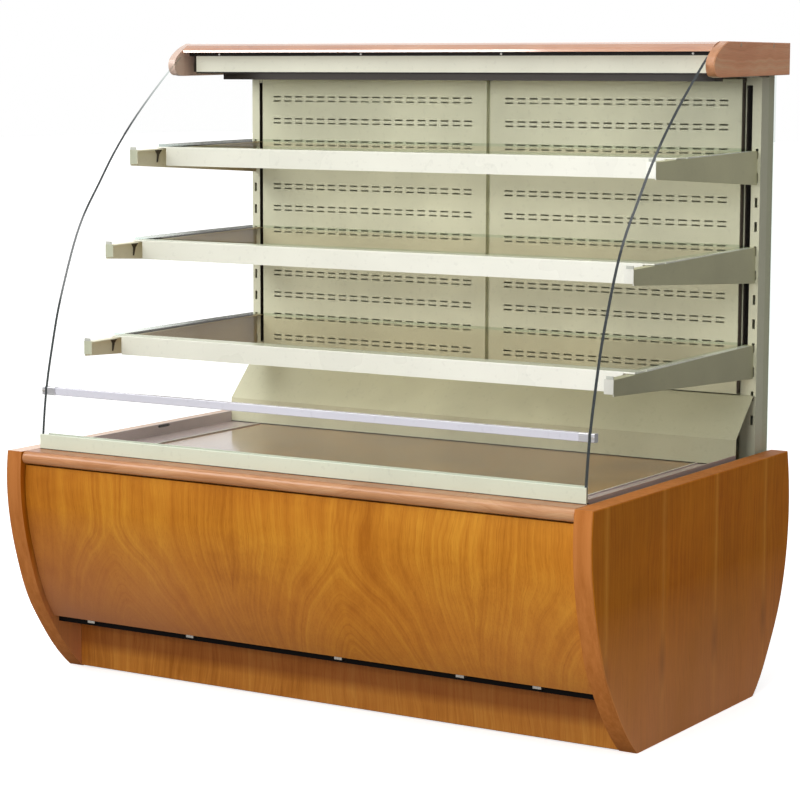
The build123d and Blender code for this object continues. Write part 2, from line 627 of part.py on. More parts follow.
with BuildPart() as condenser_coil:
    block(-20, 280, 236, 296, tray_z, 242)
    block(-24, -20, 232, 300, tray_z, 246)
    block(280, 284, 232, 300, tray_z, 246)
    for u_z in (90, 130, 170, 210):
        with Locations((288, yd(266), u_z)):
            Box(12, 44, 10)
    block(-24, 284, 300.2, 302, tray_z, 246)
    # shroud ring around the fan
    with Locations(Location((cond_fan_x, yd(300.2), cond_fan_z), (-90, 0, 0))):
        Cylinder(cond_fan_r + 8, 26, align=(Align.CENTER, Align.CENTER, Align.MIN))
        Cylinder(cond_fan_r + 5, 30, align=(Align.CENTER, Align.CENTER, Align.MIN), mode=Mode.SUBTRACT)

with BuildPart(Plane(origin=(cond_fan_x, yd(318), cond_fan_z), x_dir=(1, 0, 0), z_dir=(0, -1, 0))) as condenser_fan:
    fan_rotor(cond_fan_r, 24, 26, 5, 46)

with BuildPart() as condensate_drain:
    with Locations((420, yd(360), 0)):
        with Locations((0, 0, 131)):
            Cylinder(10.5, tub_in_z0 - 131, align=(Align.CENTER, Align.CENTER, Align.MIN))
        with Locations((0, 0, tub_in_z0)):
            Cylinder(18, 2, align=(Align.CENTER, Align.CENTER, Align.MIN))
        Cylinder(8.5, 700, mode=Mode.SUBTRACT)
    block(340, 560, 280, 480, tray_z, 124)
    block(342, 558, 282, 478, tray_z + 2, 130, mode=Mode.SUBTRACT)

with BuildPart() as refrigerant_lines:
    with BuildLine() as suction_route:
        FilletPolyline((-330, yd(582.5), 150), (-330, yd(640), 150), (-480, yd(640), 150), (-480, yd(560), 150),
                       (-480, yd(560), 330), (-424.5, yd(560), 330), radius=16)
    with BuildSketch(Plane(origin=(-330, yd(582.5), 150), z_dir=(0, 1, 0))):
        Circle(6)
    sweep(path=suction_route.line)
    with BuildLine() as liquid_route:
        FilletPolyline((284.5, yd(266), 226), (316, yd(266), 226), (316, yd(420), 226), (120, yd(640), 226),
                       (-456, yd(640), 226), (-456, yd(556), 226), (-456, yd(556), 400), (-424.5, yd(556), 400), radius=14)
    with BuildSketch(Plane(origin=(284.5, yd(266), 226), z_dir=(1, 0, 0))):
        Circle(3.2)
    sweep(path=liquid_route.line)
    with Locations(Location((-100, yd(640), 226), (0, 90, 0))):
        Cylinder(14, 110)
    with BuildLine() as discharge_route:
        FilletPolyline((-330, yd(417.5), 170), (-330, yd(380), 170), (-60, yd(380), 170), (-60, yd(266), 170),
                       (-24.5, yd(266), 170), radius=14)
    with BuildSketch(Plane(origin=(-330, yd(417.5), 170), z_dir=(0, -1, 0))):
        Circle(4)
    sweep(path=discharge_route.line)

side_panel_right.part.label = "side_panel_right"
export_step(side_panel_right.part, "parts/side_panel_right.step")
side_panel_left.part.label = "side_panel_left"
export_step(side_panel_left.part, "parts/side_panel_left.step")
front_panel.part.label = "front_panel"
export_step(front_panel.part, "parts/front_panel.step")
top_molding.part.label = "top_molding"
export_step(top_molding.part, "parts/top_molding.step")
kick_plate.part.label = "kick_plate"
export_step(kick_plate.part, "parts/kick_plate.step")
front_panel_clips.part.label = "front_panel_clips"
export_step(front_panel_clips.part, "parts/front_panel_clips.step")
front_fascia.part.label = "front_fascia"
export_step(front_fascia.part, "parts/front_fascia.step")
base_frame.part.label = "base_frame"
export_step(base_frame.part, "parts/base_frame.step")
levelling_feet.part.label = "levelling_feet"
export_step(levelling_feet.part, "parts/levelling_feet.step")
rear_service_grille.part.label = "rear_service_grille"
export_step(rear_service_grille.part, "parts/rear_service_grille.step")
power_inlet.part.label = "power_inlet"
export_step(power_inlet.part, "parts/power_inlet.step")
insulated_tub.part.label = "insulated_tub"
export_step(insulated_tub.part, "parts/insulated_tub.step")
deck_panel.part.label = "deck_panel"
export_step(deck_panel.part, "parts/deck_panel.step")
return_air_grille.part.label = "return_air_grille"
export_step(return_air_grille.part, "parts/return_air_grille.step")
deck_side_trims.part.label = "deck_side_trims"
export_step(deck_side_trims.part, "parts/deck_side_trims.step")
side_glass_channels.part.label = "side_glass_channels"
export_step(side_glass_channels.part, "parts/side_glass_channels.step")
lower_rear_panel.part.label = "lower_rear_panel"
export_step(lower_rear_panel.part, "parts/lower_rear_panel.step")
uprights.part.label = "uprights"
export_step(uprights.part, "parts/uprights.step")
air_panel_right.part.label = "air_panel_right"
export_step(air_panel_right.part, "parts/air_panel_right.step")
air_panel_left.part.label = "air_panel_left"
export_step(air_panel_left.part, "parts/air_panel_left.step")
rear_wall.part.label = "rear_wall"
export_step(rear_wall.part, "parts/rear_wall.step")
front_glass.part.label = "front_glass"
export_step(front_glass.part, "parts/front_glass.step")
glass_rail.part.label = "glass_rail"
export_step(glass_rail.part, "parts/glass_rail.step")
rail_clamps.part.label = "rail_clamps"
export_step(rail_clamps.part, "parts/rail_clamps.step")
side_glass_right.part.label = "side_glass_right"
export_step(side_glass_right.part, "parts/side_glass_right.step")
side_glass_left.part.label = "side_glass_left"
export_step(side_glass_left.part, "parts/side_glass_left.step")
canopy_caps.part.label = "canopy_caps"
export_step(canopy_caps.part, "parts/canopy_caps.step")
canopy_front_rail.part.label = "canopy_front_rail"
export_step(canopy_front_rail.part, "parts/canopy_front_rail.step")
canopy_seal.part.label = "canopy_seal"
export_step(canopy_seal.part, "parts/canopy_seal.step")
fixing_screws.part.label = "fixing_screws"
export_step(fixing_screws.part, "parts/fixing_screws.step")
canopy_top.part.label = "canopy_top"
export_step(canopy_top.part, "parts/canopy_top.step")
canopy_light_panel.part.label = "canopy_light_panel"
export_step(canopy_light_panel.part, "parts/canopy_light_panel.step")
lamp.part.label = "lamp"
export_step(lamp.part, "parts/lamp.step")
canopy_ribs.part.label = "canopy_ribs"
export_step(canopy_ribs.part, "parts/canopy_ribs.step")
air_discharge_grille.part.label = "air_discharge_grille"
export_step(air_discharge_grille.part, "parts/air_discharge_grille.step")
control_box.part.label = "control_box"
export_step(control_box.part, "parts/control_box.step")
controller_face.part.label = "controller_face"
export_step(controller_face.part, "parts/controller_face.step")
evaporator_fan_plate.part.label = "evaporator_fan_plate"
export_step(evaporator_fan_plate.part, "parts/evaporator_fan_plate.step")
fan_motors.part.label = "fan_motors"
export_step(fan_motors.part, "parts/fan_motors.step")
evaporator_coil.part.label = "evaporator_coil"
export_step(evaporator_coil.part, "parts/evaporator_coil.step")
compressor.part.label = "compressor"
export_step(compressor.part, "parts/compressor.step")
condenser_coil.part.label = "condenser_coil"
export_step(condenser_coil.part, "parts/condenser_coil.step")
condenser_fan.part.label = "condenser_fan"
export_step(condenser_fan.part, "parts/condenser_fan.step")
condensate_drain.part.label = "condensate_drain"
export_step(condensate_drain.part, "parts/condensate_drain.step")
refrigerant_lines.part.label = "refrigerant_lines"
export_step(refrigerant_lines.part, "parts/refrigerant_lines.step")
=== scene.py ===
import math
import random

import bmesh
import bpy
from mathutils import Matrix, Vector


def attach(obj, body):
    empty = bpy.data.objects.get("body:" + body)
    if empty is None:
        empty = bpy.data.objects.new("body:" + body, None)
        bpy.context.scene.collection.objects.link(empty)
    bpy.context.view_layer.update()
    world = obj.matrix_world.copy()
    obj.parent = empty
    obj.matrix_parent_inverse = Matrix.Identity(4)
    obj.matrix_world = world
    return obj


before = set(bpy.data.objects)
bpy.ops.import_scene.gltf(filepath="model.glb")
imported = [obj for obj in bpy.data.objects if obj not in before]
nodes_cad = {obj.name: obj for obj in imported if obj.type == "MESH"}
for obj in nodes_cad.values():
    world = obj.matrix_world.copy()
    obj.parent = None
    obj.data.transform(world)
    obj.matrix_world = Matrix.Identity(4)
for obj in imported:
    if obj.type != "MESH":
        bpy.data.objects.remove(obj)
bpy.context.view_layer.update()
random.seed(7)

DEPTH_REF = 445.5


def yd(d):
    return (d - DEPTH_REF) / 1000.0


# ------------------------------------------------------------------ materials
def new_mat(name):
    mat = bpy.data.materials.new(name)
    mat.use_nodes = True
    nt = mat.node_tree
    nt.nodes.clear()
    out = nt.nodes.new("ShaderNodeOutputMaterial")
    return mat, nt, out


def add(nt, kind, props=None, inputs=None):
    n = nt.nodes.new(kind)
    for k, v in (props or {}).items():
        setattr(n, k, v)
    for k, v in (inputs or {}).items():
        sock = n.inputs[k]
        if isinstance(v, bpy.types.NodeSocket):
            nt.links.new(v, sock)
        else:
            sock.default_value = v
    return n


def math_n(nt, op, a, b=None, c=None, clamp=False):
    n = nt.nodes.new("ShaderNodeMath")
    n.operation = op
    n.use_clamp = clamp
    for i, v in enumerate((a, b, c)):
        if v is None:
            continue
        if isinstance(v, bpy.types.NodeSocket):
            nt.links.new(v, n.inputs[i])
        else:
            n.inputs[i].default_value = v
    return n.outputs[0]


def mix_c(nt, fac, a, b, mode="MIX"):
    n = nt.nodes.new("ShaderNodeMix")
    n.data_type = "RGBA"
    n.blend_type = mode
    for sock, v in ((n.inputs[0], fac), (n.inputs[6], a), (n.inputs[7], b)):
        if isinstance(v, bpy.types.NodeSocket):
            nt.links.new(v, sock)
        elif isinstance(v, (tuple, list)):
            sock.default_value = (*v[:3], 1.0)
        else:
            sock.default_value = v
    return n.outputs[2]


def ramp(nt, fac, stops, interp="LINEAR"):
    n = nt.nodes.new("ShaderNodeValToRGB")
    cr = n.color_ramp
    cr.interpolation = interp
    while len(cr.elements) > 1:
        cr.elements.remove(cr.elements[-1])
    cr.elements[0].position = stops[0][0]
    cr.elements[0].color = (*stops[0][1], 1.0)
    for p, c in stops[1:]:
        e = cr.elements.new(p)
        e.color = (*c, 1.0)
    nt.links.new(fac, n.inputs[0])
    return n.outputs[0]


def coords(nt):
    tc = nt.nodes.new("ShaderNodeTexCoord")
    sep = nt.nodes.new("ShaderNodeSeparateXYZ")
    nt.links.new(tc.outputs["Object"], sep.inputs[0])
    return tc.outputs["Object"], sep.outputs[0], sep.outputs[1], sep.outputs[2]


def scaled(nt, vec, s):
    n = nt.nodes.new("ShaderNodeMapping")
    nt.links.new(vec, n.inputs[0])
    n.inputs["Scale"].default_value = s
    return n.outputs[0]


def noise(nt, vec=None, scale=5.0, detail=2.0, rough=0.5, w=None, distortion=0.0):
    n = nt.nodes.new("ShaderNodeTexNoise")
    n.inputs["Scale"].default_value = scale
    n.inputs["Detail"].default_value = detail
    n.inputs["Roughness"].default_value = rough
    n.inputs["Distortion"].default_value = distortion
    if w is not None:
        n.noise_dimensions = "1D"
        nt.links.new(w, n.inputs["W"])
    elif vec is not None:
        nt.links.new(vec, n.inputs["Vector"])
    return n.outputs["Fac"]


def bump(nt, height, strength, distance, normal=None):
    n = nt.nodes.new("ShaderNodeBump")
    n.inputs["Strength"].default_value = strength
    n.inputs["Distance"].default_value = distance
    nt.links.new(height, n.inputs["Height"])
    if normal is not None:
        nt.links.new(normal, n.inputs["Normal"])
    return n.outputs[0]


def principled(nt, out, **kw):
    p = nt.nodes.new("ShaderNodeBsdfPrincipled")
    for k, v in kw.items():
        key = k.replace("_", " ")
        sock = p.inputs[key]
        if isinstance(v, bpy.types.NodeSocket):
            nt.links.new(v, sock)
        elif isinstance(v, (tuple, list)) and len(v) == 3 and sock.type == "RGBA":
            sock.default_value = (*v, 1.0)
        else:
            sock.default_value = v
    nt.links.new(p.outputs[0], out.inputs[0])
    return p


def hexc(h):
    """sRGB hex to linear."""
    c = [int(h[i:i + 2], 16) / 255 for i in (0, 2, 4)]
    return tuple(x / 12.92 if x <= 0.04045 else ((x + 0.055) / 1.055) ** 2.4 for x in c)


def stretch_vec(nt, x, y, z, fx, fy, fz):
    n = nt.nodes.new("ShaderNodeCombineXYZ")
    for i, (v, f) in enumerate(((x, fx), (y, fy), (z, fz))):
        nt.links.new(math_n(nt, "MULTIPLY", v, f), n.inputs[i])
    return n.outputs[0]


def tone_x(nt, x, col, ends):
    """Multiply by one tone at the left end of the object and by another at its right end. The change between the two
    ends is painted light.
    """
    w = math_n(nt, "MULTIPLY_ADD", x, 0.8, 0.5, clamp=True)
    return mix_c(nt, 1.0, col, mix_c(nt, w, ends[0], ends[1]), "MULTIPLY")


def edge_mask(nt, axis, lo=0.55, hi=0.85):
    """1 on faces turned away from an axis, 0 on faces across it."""
    geo = nt.nodes.new("ShaderNodeNewGeometry")
    sep = nt.nodes.new("ShaderNodeSeparateXYZ")
    nt.links.new(geo.outputs["Normal"], sep.inputs[0])
    n = math_n(nt, "ABSOLUTE", sep.outputs["xyz".index(axis)])
    return math_n(nt, "MULTIPLY_ADD", n, -1.0 / (hi - lo), hi / (hi - lo), clamp=True)


def wood(name, across, dark, mid, light, leaf=None, apex=0.0, top=0.33, taper=0.60, tone=None,
         fine=1.0, rough=0.45, coat=0.03, along="z", tone_gain=0.55, seed=0.0, flame=0.30, coat_ior=1.5,
         painted_floor_light=None, edge=None, spec=0.12, coat_rough=0.22, stripes=None, shade=0.0, ends=None, left=None,
         left_top_glare=None, top_shade=False):
    """Satin lacquered veneer. leaf gives the width of a slip-matched leaf with its nested flame peaks."""
    mat, nt, out = new_mat(name)
    vec, x, y, z = coords(nt)
    axis = {"x": x, "y": y, "z": z}
    u, v = axis[across], axis[along]
    slow = noise(nt, vec, scale=3.1, detail=2.0, rough=0.45)
    slow2 = noise(nt, stretch_vec(nt, x, y, z, 7.0, 7.0, 3.0), scale=1.0, detail=2.0)
    slow3 = noise(nt, stretch_vec(nt, x, y, z, 26.0, 26.0, 18.0), scale=1.0, detail=2.0)
    wob = math_n(nt, "MULTIPLY_ADD", slow, 0.08, -0.04)
    wob2 = math_n(nt, "MULTIPLY_ADD", slow2, 0.05, -0.025)
    wob3 = math_n(nt, "MULTIPLY_ADD", slow3, 0.010, -0.005)
    u2 = math_n(nt, "ADD", math_n(nt, "ADD", math_n(nt, "ADD", u, wob), wob2), wob3)
    centre = None
    if leaf:
        wrapped = math_n(nt, "WRAP", math_n(nt, "ADD", u2, -apex + 20 * leaf), leaf / 2, -leaf / 2)
        u_sq = math_n(nt, "POWER", math_n(nt, "ABSOLUTE", wrapped), 2.0)
        side = math_n(nt, "SQRT", math_n(nt, "ADD", u_sq, 0.012 ** 2))
        centre = math_n(nt, "DIVIDE", 1.0, math_n(nt, "MULTIPLY_ADD", u_sq, 1 / 0.15 ** 2, 1.0))
        low = math_n(nt, "SMOOTH_MIN", v, top, 0.06)
        rise = math_n(nt, "MULTIPLY_ADD", low, taper, -0.08 * taper)
        r = math_n(nt, "ADD", side, math_n(nt, "MULTIPLY", rise, centre))
        # the leaf number shifts the rings, so leaves aren't copies
        leaf_no = math_n(nt, "FLOOR", math_n(nt, "DIVIDE", math_n(nt, "ADD", u2, -apex + 20.5 * leaf), leaf))
        r = math_n(nt, "MULTIPLY_ADD", leaf_no, 0.013, r)
    else:
        r = math_n(nt, "ADD", u2, seed)
    n1 = noise(nt, w=r, scale=58.0, detail=3.0, rough=0.6)
    n2 = noise(nt, w=r, scale=210.0, detail=3.0, rough=0.6)
    fa = {"x": 1.0, "y": 1.0, "z": 1.0}
    fa[along] = 0.012
    streak = noise(nt, stretch_vec(nt, x, y, z, fa["x"], fa["y"], fa["z"]), scale=85.0 * fine, detail=4.0, rough=0.65)
    fa[along] = 0.035
    pores = noise(nt, stretch_vec(nt, x, y, z, fa["x"], fa["y"], fa["z"]), scale=640.0 * fine, detail=2.0, rough=0.6)
    blot = noise(nt, vec, scale=4.2, detail=3.0, rough=0.55, distortion=0.4)
    mottle = noise(nt, stretch_vec(nt, x, y, z, 14.0, 14.0, 26.0), scale=1.0, detail=2.0, rough=0.5)
    f = math_n(nt, "ADD", math_n(nt, "MULTIPLY", n1, flame), math_n(nt, "MULTIPLY", n2, 0.15))
    f = math_n(nt, "ADD", f, math_n(nt, "MULTIPLY", streak, 0.20))
    f = math_n(nt, "ADD", f, math_n(nt, "MULTIPLY", pores, 0.06))
    f = math_n(nt, "ADD", f, math_n(nt, "MULTIPLY", mottle, 0.10))
    f = math_n(nt, "ADD", f, math_n(nt, "MULTIPLY_ADD", blot, 0.34, -0.045 - flame * 0.5))
    # thin dark growth lines
    line = ramp(nt, n1, [(0.40, (1, 1, 1)), (0.425, (0.86, 0.80, 0.72)), (0.445, (1, 1, 1)), (0.53, (1, 1, 1)),
                         (0.55, (0.88, 0.82, 0.74)), (0.57, (1, 1, 1))])
    col = ramp(nt, f, [(0.24, dark), (0.38, mid), (0.54, light)])
    col = mix_c(nt, 0.75, col, line, "MULTIPLY")
    if centre is not None:
        # the heart of each leaf is a little darker towards the floor
        heart = math_n(nt, "MULTIPLY", centre, math_n(nt, "MULTIPLY_ADD", v, -4.0, 1.35, clamp=True))
        col = mix_c(nt, math_n(nt, "MULTIPLY", heart, 0.55), col, (0.80, 0.72, 0.66), "MULTIPLY")
    if tone:
        t = noise(nt, scaled(nt, vec, (1, 1, 1.4)), scale=2.6, detail=3.0, rough=0.5)
        t = math_n(nt, "MULTIPLY_ADD", t, 3.2, -1.35, clamp=True)
        col = mix_c(nt, math_n(nt, "MULTIPLY", t, tone_gain), col, tone)
    if stripes:
        # narrow pale lines where veneer leaves meet
        period, offset, pale, amount = stripes
        w = math_n(nt, "WRAP", math_n(nt, "ADD", math_n(nt, "ADD", u, math_n(nt, "MULTIPLY", wob3, 0.4)), offset),
                   period / 2, -period / 2)
        w = math_n(nt, "MULTIPLY_ADD", math_n(nt, "ABSOLUTE", w), -1 / 0.016, 1.0, clamp=True)
        w = math_n(nt, "MULTIPLY", math_n(nt, "POWER", w, 1.6), math_n(nt, "MULTIPLY_ADD", slow2, 1.2, 0.2))
        col = mix_c(nt, math_n(nt, "MULTIPLY", w, amount, clamp=True), col, pale)
        # small dark eyes above the floor edge
        e = math_n(nt, "WRAP", math_n(nt, "ADD", u, offset), period / 2, -period / 2)
        ex = math_n(nt, "POWER", math_n(nt, "MULTIPLY", math_n(nt, "ABSOLUTE", e), 1 / 0.020), 2.0)
        ez = math_n(nt, "POWER", math_n(nt, "MULTIPLY", math_n(nt, "ABSOLUTE", math_n(nt, "SUBTRACT", v, 0.155)), 1 / 0.065), 2.0)
        eye = math_n(nt, "MULTIPLY_ADD", math_n(nt, "SQRT", math_n(nt, "ADD", ex, ez)), -1.0, 1.0, clamp=True)
        col = mix_c(nt, math_n(nt, "MULTIPLY", eye, 0.9, clamp=True), col, tuple(c * 0.6 for c in dark))
    if painted_floor_light:
        # painted light from the floor: the lower part, most towards the sides, is mixed towards a tint standing in for
        # the floor's bounced light and its reflection in the lacquer
        z0, z1, floor_light_col, amount, base_w = painted_floor_light
        h = math_n(nt, "MULTIPLY_ADD", z, -1.0 / (z1 - z0), z1 / (z1 - z0), clamp=True)
        off = math_n(nt, "SUBTRACT", x, 0.12)
        away = math_n(nt, "MAXIMUM", math_n(nt, "MULTIPLY", off, -1.0), math_n(nt, "MULTIPLY", off, 0.25 if leaf else 1.0))
        side_w = math_n(nt, "MULTIPLY_ADD", away, 1.3, base_w, clamp=True)
        h = math_n(nt, "MULTIPLY", h, side_w)
        h = math_n(nt, "MULTIPLY", h, math_n(nt, "MULTIPLY_ADD", slow2, 0.8, 0.6))
        col = mix_c(nt, math_n(nt, "MULTIPLY", h, amount, clamp=True), col, floor_light_col)
    pore_dark = ramp(nt, pores, [(0.30, (0.80, 0.80, 0.80)), (0.46, (1, 1, 1))])
    col = mix_c(nt, 0.5, col, pore_dark, "MULTIPLY")
    if edge:
        e_axis, e_lo, e_hi = edge
        ecol = ramp(nt, streak, [(0.3, e_lo), (0.7, e_hi)])
        if left_top_glare:
            # painted highlight: the top edge of the left panel is paler, standing in for glare on it
            lw = math_n(nt, "MULTIPLY", math_n(nt, "LESS_THAN", x, 0.0), math_n(nt, "GREATER_THAN", z, left_top_glare[1]))
            lgeo = nt.nodes.new("ShaderNodeNewGeometry")
            lsep = nt.nodes.new("ShaderNodeSeparateXYZ")
            nt.links.new(lgeo.outputs["Normal"], lsep.inputs[0])
            lw = math_n(nt, "MULTIPLY", lw, math_n(nt, "GREATER_THAN", math_n(nt, "ABSOLUTE", lsep.outputs[2]), 0.85))
            ecol = mix_c(nt, math_n(nt, "MULTIPLY", lw, left_top_glare[2]), ecol, left_top_glare[0])
        col = mix_c(nt, edge_mask(nt, e_axis), col, ecol)
    if shade:
        # painted shadow under the overhang: everything above a low, sharp edge is darker
        sh = math_n(nt, "MULTIPLY_ADD", z, 1 / 0.022, -0.036 / 0.022, clamp=True)
        col = mix_c(nt, math_n(nt, "MULTIPLY", sh, shade), col, (0.60, 0.50, 0.62), "MULTIPLY")
    if left:
        # painted highlight: faces left of the middle are mixed towards a pale tone, standing in for glare on the left
        # cap
        col = mix_c(nt, math_n(nt, "MULTIPLY", math_n(nt, "LESS_THAN", x, 0.0), left[1]), col, left[0])
    if ends:
        col = tone_x(nt, x, col, ends)
    if top_shade:
        # painted shade: the top face gets no coat and a darker colour; the darker colour is painted shade there
        geo = nt.nodes.new("ShaderNodeNewGeometry")
        gs = nt.nodes.new("ShaderNodeSeparateXYZ")
        nt.links.new(geo.outputs["Normal"], gs.inputs[0])
        up_face = math_n(nt, "GREATER_THAN", math_n(nt, "ABSOLUTE", gs.outputs[2]), 0.93)
        coat = math_n(nt, "MULTIPLY_ADD", up_face, -coat, coat)
        col = mix_c(nt, math_n(nt, "MULTIPLY", up_face, 0.8), col, (0.72, 0.62, 0.56), "MULTIPLY")
    rg = math_n(nt, "MULTIPLY_ADD", blot, 0.10, rough - 0.05)
    h = math_n(nt, "ADD", math_n(nt, "MULTIPLY", pores, 0.6), math_n(nt, "MULTIPLY", n2, 0.4))
    nrm = bump(nt, h, 0.10, 0.0004)
    principled(nt, out, Base_Color=col, Roughness=rg, Normal=nrm, Coat_Weight=coat, Coat_Roughness=coat_rough,
               Coat_IOR=coat_ior, Specular_IOR_Level=spec)
    return mat


def paint(name, color, rough=0.42, peel=0.25, mottle=0.04, coat=0.0, spec=0.5, dust=0.03, patch=None,
          coat_rough=0.2, front=None, inner=None, ends=None, rise=None):
    """Powder coat: a faint orange peel, slow tone changes and a little dust."""
    mat, nt, out = new_mat(name)
    vec, x, y, z = coords(nt)
    big = noise(nt, vec, scale=3.5, detail=3.0, rough=0.55)
    fine = noise(nt, vec, scale=95.0, detail=2.0, rough=0.5)
    orange = noise(nt, vec, scale=420.0, detail=1.5, rough=0.4)
    lo = tuple(c * (1 - mottle * 2.2) for c in color)
    hi = tuple(min(c * (1 + mottle), 0.95) for c in color)
    col = ramp(nt, big, [(0.3, lo), (0.7, hi)])
    speck = ramp(nt, fine, [(0.28, tuple(1 - dust * 2 for _ in range(3))), (0.40, (1, 1, 1))])
    if patch:
        pn = noise(nt, vec, scale=patch[1], detail=3.0, rough=0.6, distortion=0.6)
        pn = math_n(nt, "MULTIPLY_ADD", pn, 3.6, -1.5, clamp=True)
        col = mix_c(nt, math_n(nt, "MULTIPLY", pn, patch[2]), col, patch[0])
    if inner:
        # painted light and shade: the left brackets' inner faces are painted bright in front, where light reaches them,
        # and browner towards the back, where they lie in shade
        near, far = inner
        w = math_n(nt, "MULTIPLY_ADD", y, 2.6, math_n(nt, "MULTIPLY_ADD", z, -0.95, 0.62 + 0.95 * 0.70), clamp=True)
        icol = mix_c(nt, w, near, far)
        col = mix_c(nt, math_n(nt, "LESS_THAN", x, 0.0), col, icol)
    if front:
        # painted light: faces turned to the front are painted brighter on the right brackets and duller on the left
        # ones, standing in for how light falls on them
        geo = nt.nodes.new("ShaderNodeNewGeometry")
        fsep = nt.nodes.new("ShaderNodeSeparateXYZ")
        nt.links.new(geo.outputs["Normal"], fsep.inputs[0])
        fr = math_n(nt, "LESS_THAN", fsep.outputs[1], -0.7)
        col = mix_c(nt, math_n(nt, "MULTIPLY", fr, math_n(nt, "GREATER_THAN", x, 0.0)), col, front[0])
        col = mix_c(nt, math_n(nt, "MULTIPLY", fr, math_n(nt, "LESS_THAN", x, 0.0)), col, front[1])
    if ends:
        col = tone_x(nt, x, col, ends)
    if rise:
        # painted light: on the right, a little lighter from one height to another
        g = math_n(nt, "MULTIPLY_ADD", z, rise[1], 1.0 - rise[0] * rise[1])
        gc = nt.nodes.new("ShaderNodeCombineXYZ")
        for i in range(3):
            nt.links.new(g, gc.inputs[i])
        col = mix_c(nt, math_n(nt, "GREATER_THAN", x, 0.0), col, mix_c(nt, 1.0, col, gc.outputs[0], "MULTIPLY"))
    col = mix_c(nt, 1.0, col, speck, "MULTIPLY")
    rg = math_n(nt, "MULTIPLY_ADD", big, 0.12, rough - 0.06)
    nrm = bump(nt, orange, peel, 0.0002)
    principled(nt, out, Base_Color=col, Roughness=rg, Normal=nrm, Coat_Weight=coat, Coat_Roughness=coat_rough,
               Specular_IOR_Level=spec)
    return mat


def metal(name, color, rough=0.3, streak="x", gain=0.16, bump_s=0.05):
    """Drawn or brushed metal with lines along one axis."""
    mat, nt, out = new_mat(name)
    vec, x, y, z = coords(nt)
    f = {"x": 420.0, "y": 420.0, "z": 420.0}
    f[streak] = 6.0
    lines = noise(nt, stretch_vec(nt, x, y, z, f["x"], f["y"], f["z"]), scale=1.0, detail=3.0, rough=0.6)
    slow = noise(nt, vec, scale=7.0, detail=2.0)
    col = ramp(nt, lines, [(0.25, tuple(c * 0.86 for c in color)), (0.75, color)])
    col = mix_c(nt, math_n(nt, "MULTIPLY_ADD", slow, 0.3, -0.05, clamp=True), col, tuple(c * 0.8 for c in color))
    rg = math_n(nt, "MULTIPLY_ADD", lines, gain, rough - gain / 2)
    nrm = bump(nt, lines, bump_s, 0.0002)
    principled(nt, out, Base_Color=col, Metallic=1.0, Roughness=rg, Normal=nrm)
    return mat


def galvanised(name, color=(0.55, 0.57, 0.58)):
    mat, nt, out = new_mat(name)
    vec, x, y, z = coords(nt)
    vor = add(nt, "ShaderNodeTexVoronoi", {"feature": "F1"}, {"Scale": 70.0, "Randomness": 1.0})
    nt.links.new(vec, vor.inputs["Vector"])
    bw = add(nt, "ShaderNodeSeparateColor")
    nt.links.new(vor.outputs["Color"], bw.inputs[0])
    small = noise(nt, vec, scale=160.0, detail=2.0)
    f = math_n(nt, "ADD", math_n(nt, "MULTIPLY", bw.outputs[0], 0.6), math_n(nt, "MULTIPLY", small, 0.4))
    col = ramp(nt, f, [(0.15, tuple(c * 0.72 for c in color)), (0.85, tuple(min(c * 1.2, 1) for c in color))])
    rg = math_n(nt, "MULTIPLY_ADD", f, 0.22, 0.30)
    nrm = bump(nt, small, 0.06, 0.0002)
    principled(nt, out, Base_Color=col, Metallic=1.0, Roughness=rg, Normal=nrm)
    return mat


def plastic(name, color, rough=0.45, grain=900.0, depth=0.22):
    mat, nt, out = new_mat(name)
    vec, x, y, z = coords(nt)
    g = noise(nt, vec, scale=grain, detail=2.0)
    slow = noise(nt, vec, scale=14.0, detail=2.0)
    col = ramp(nt, slow, [(0.3, tuple(c * 0.88 for c in color)), (0.7, tuple(min(c * 1.1, 1) for c in color))])
    rg = math_n(nt, "MULTIPLY_ADD", slow, 0.12, rough - 0.06)
    nrm = bump(nt, g, depth, 0.0002)
    principled(nt, out, Base_Color=col, Roughness=rg, Normal=nrm)
    return mat


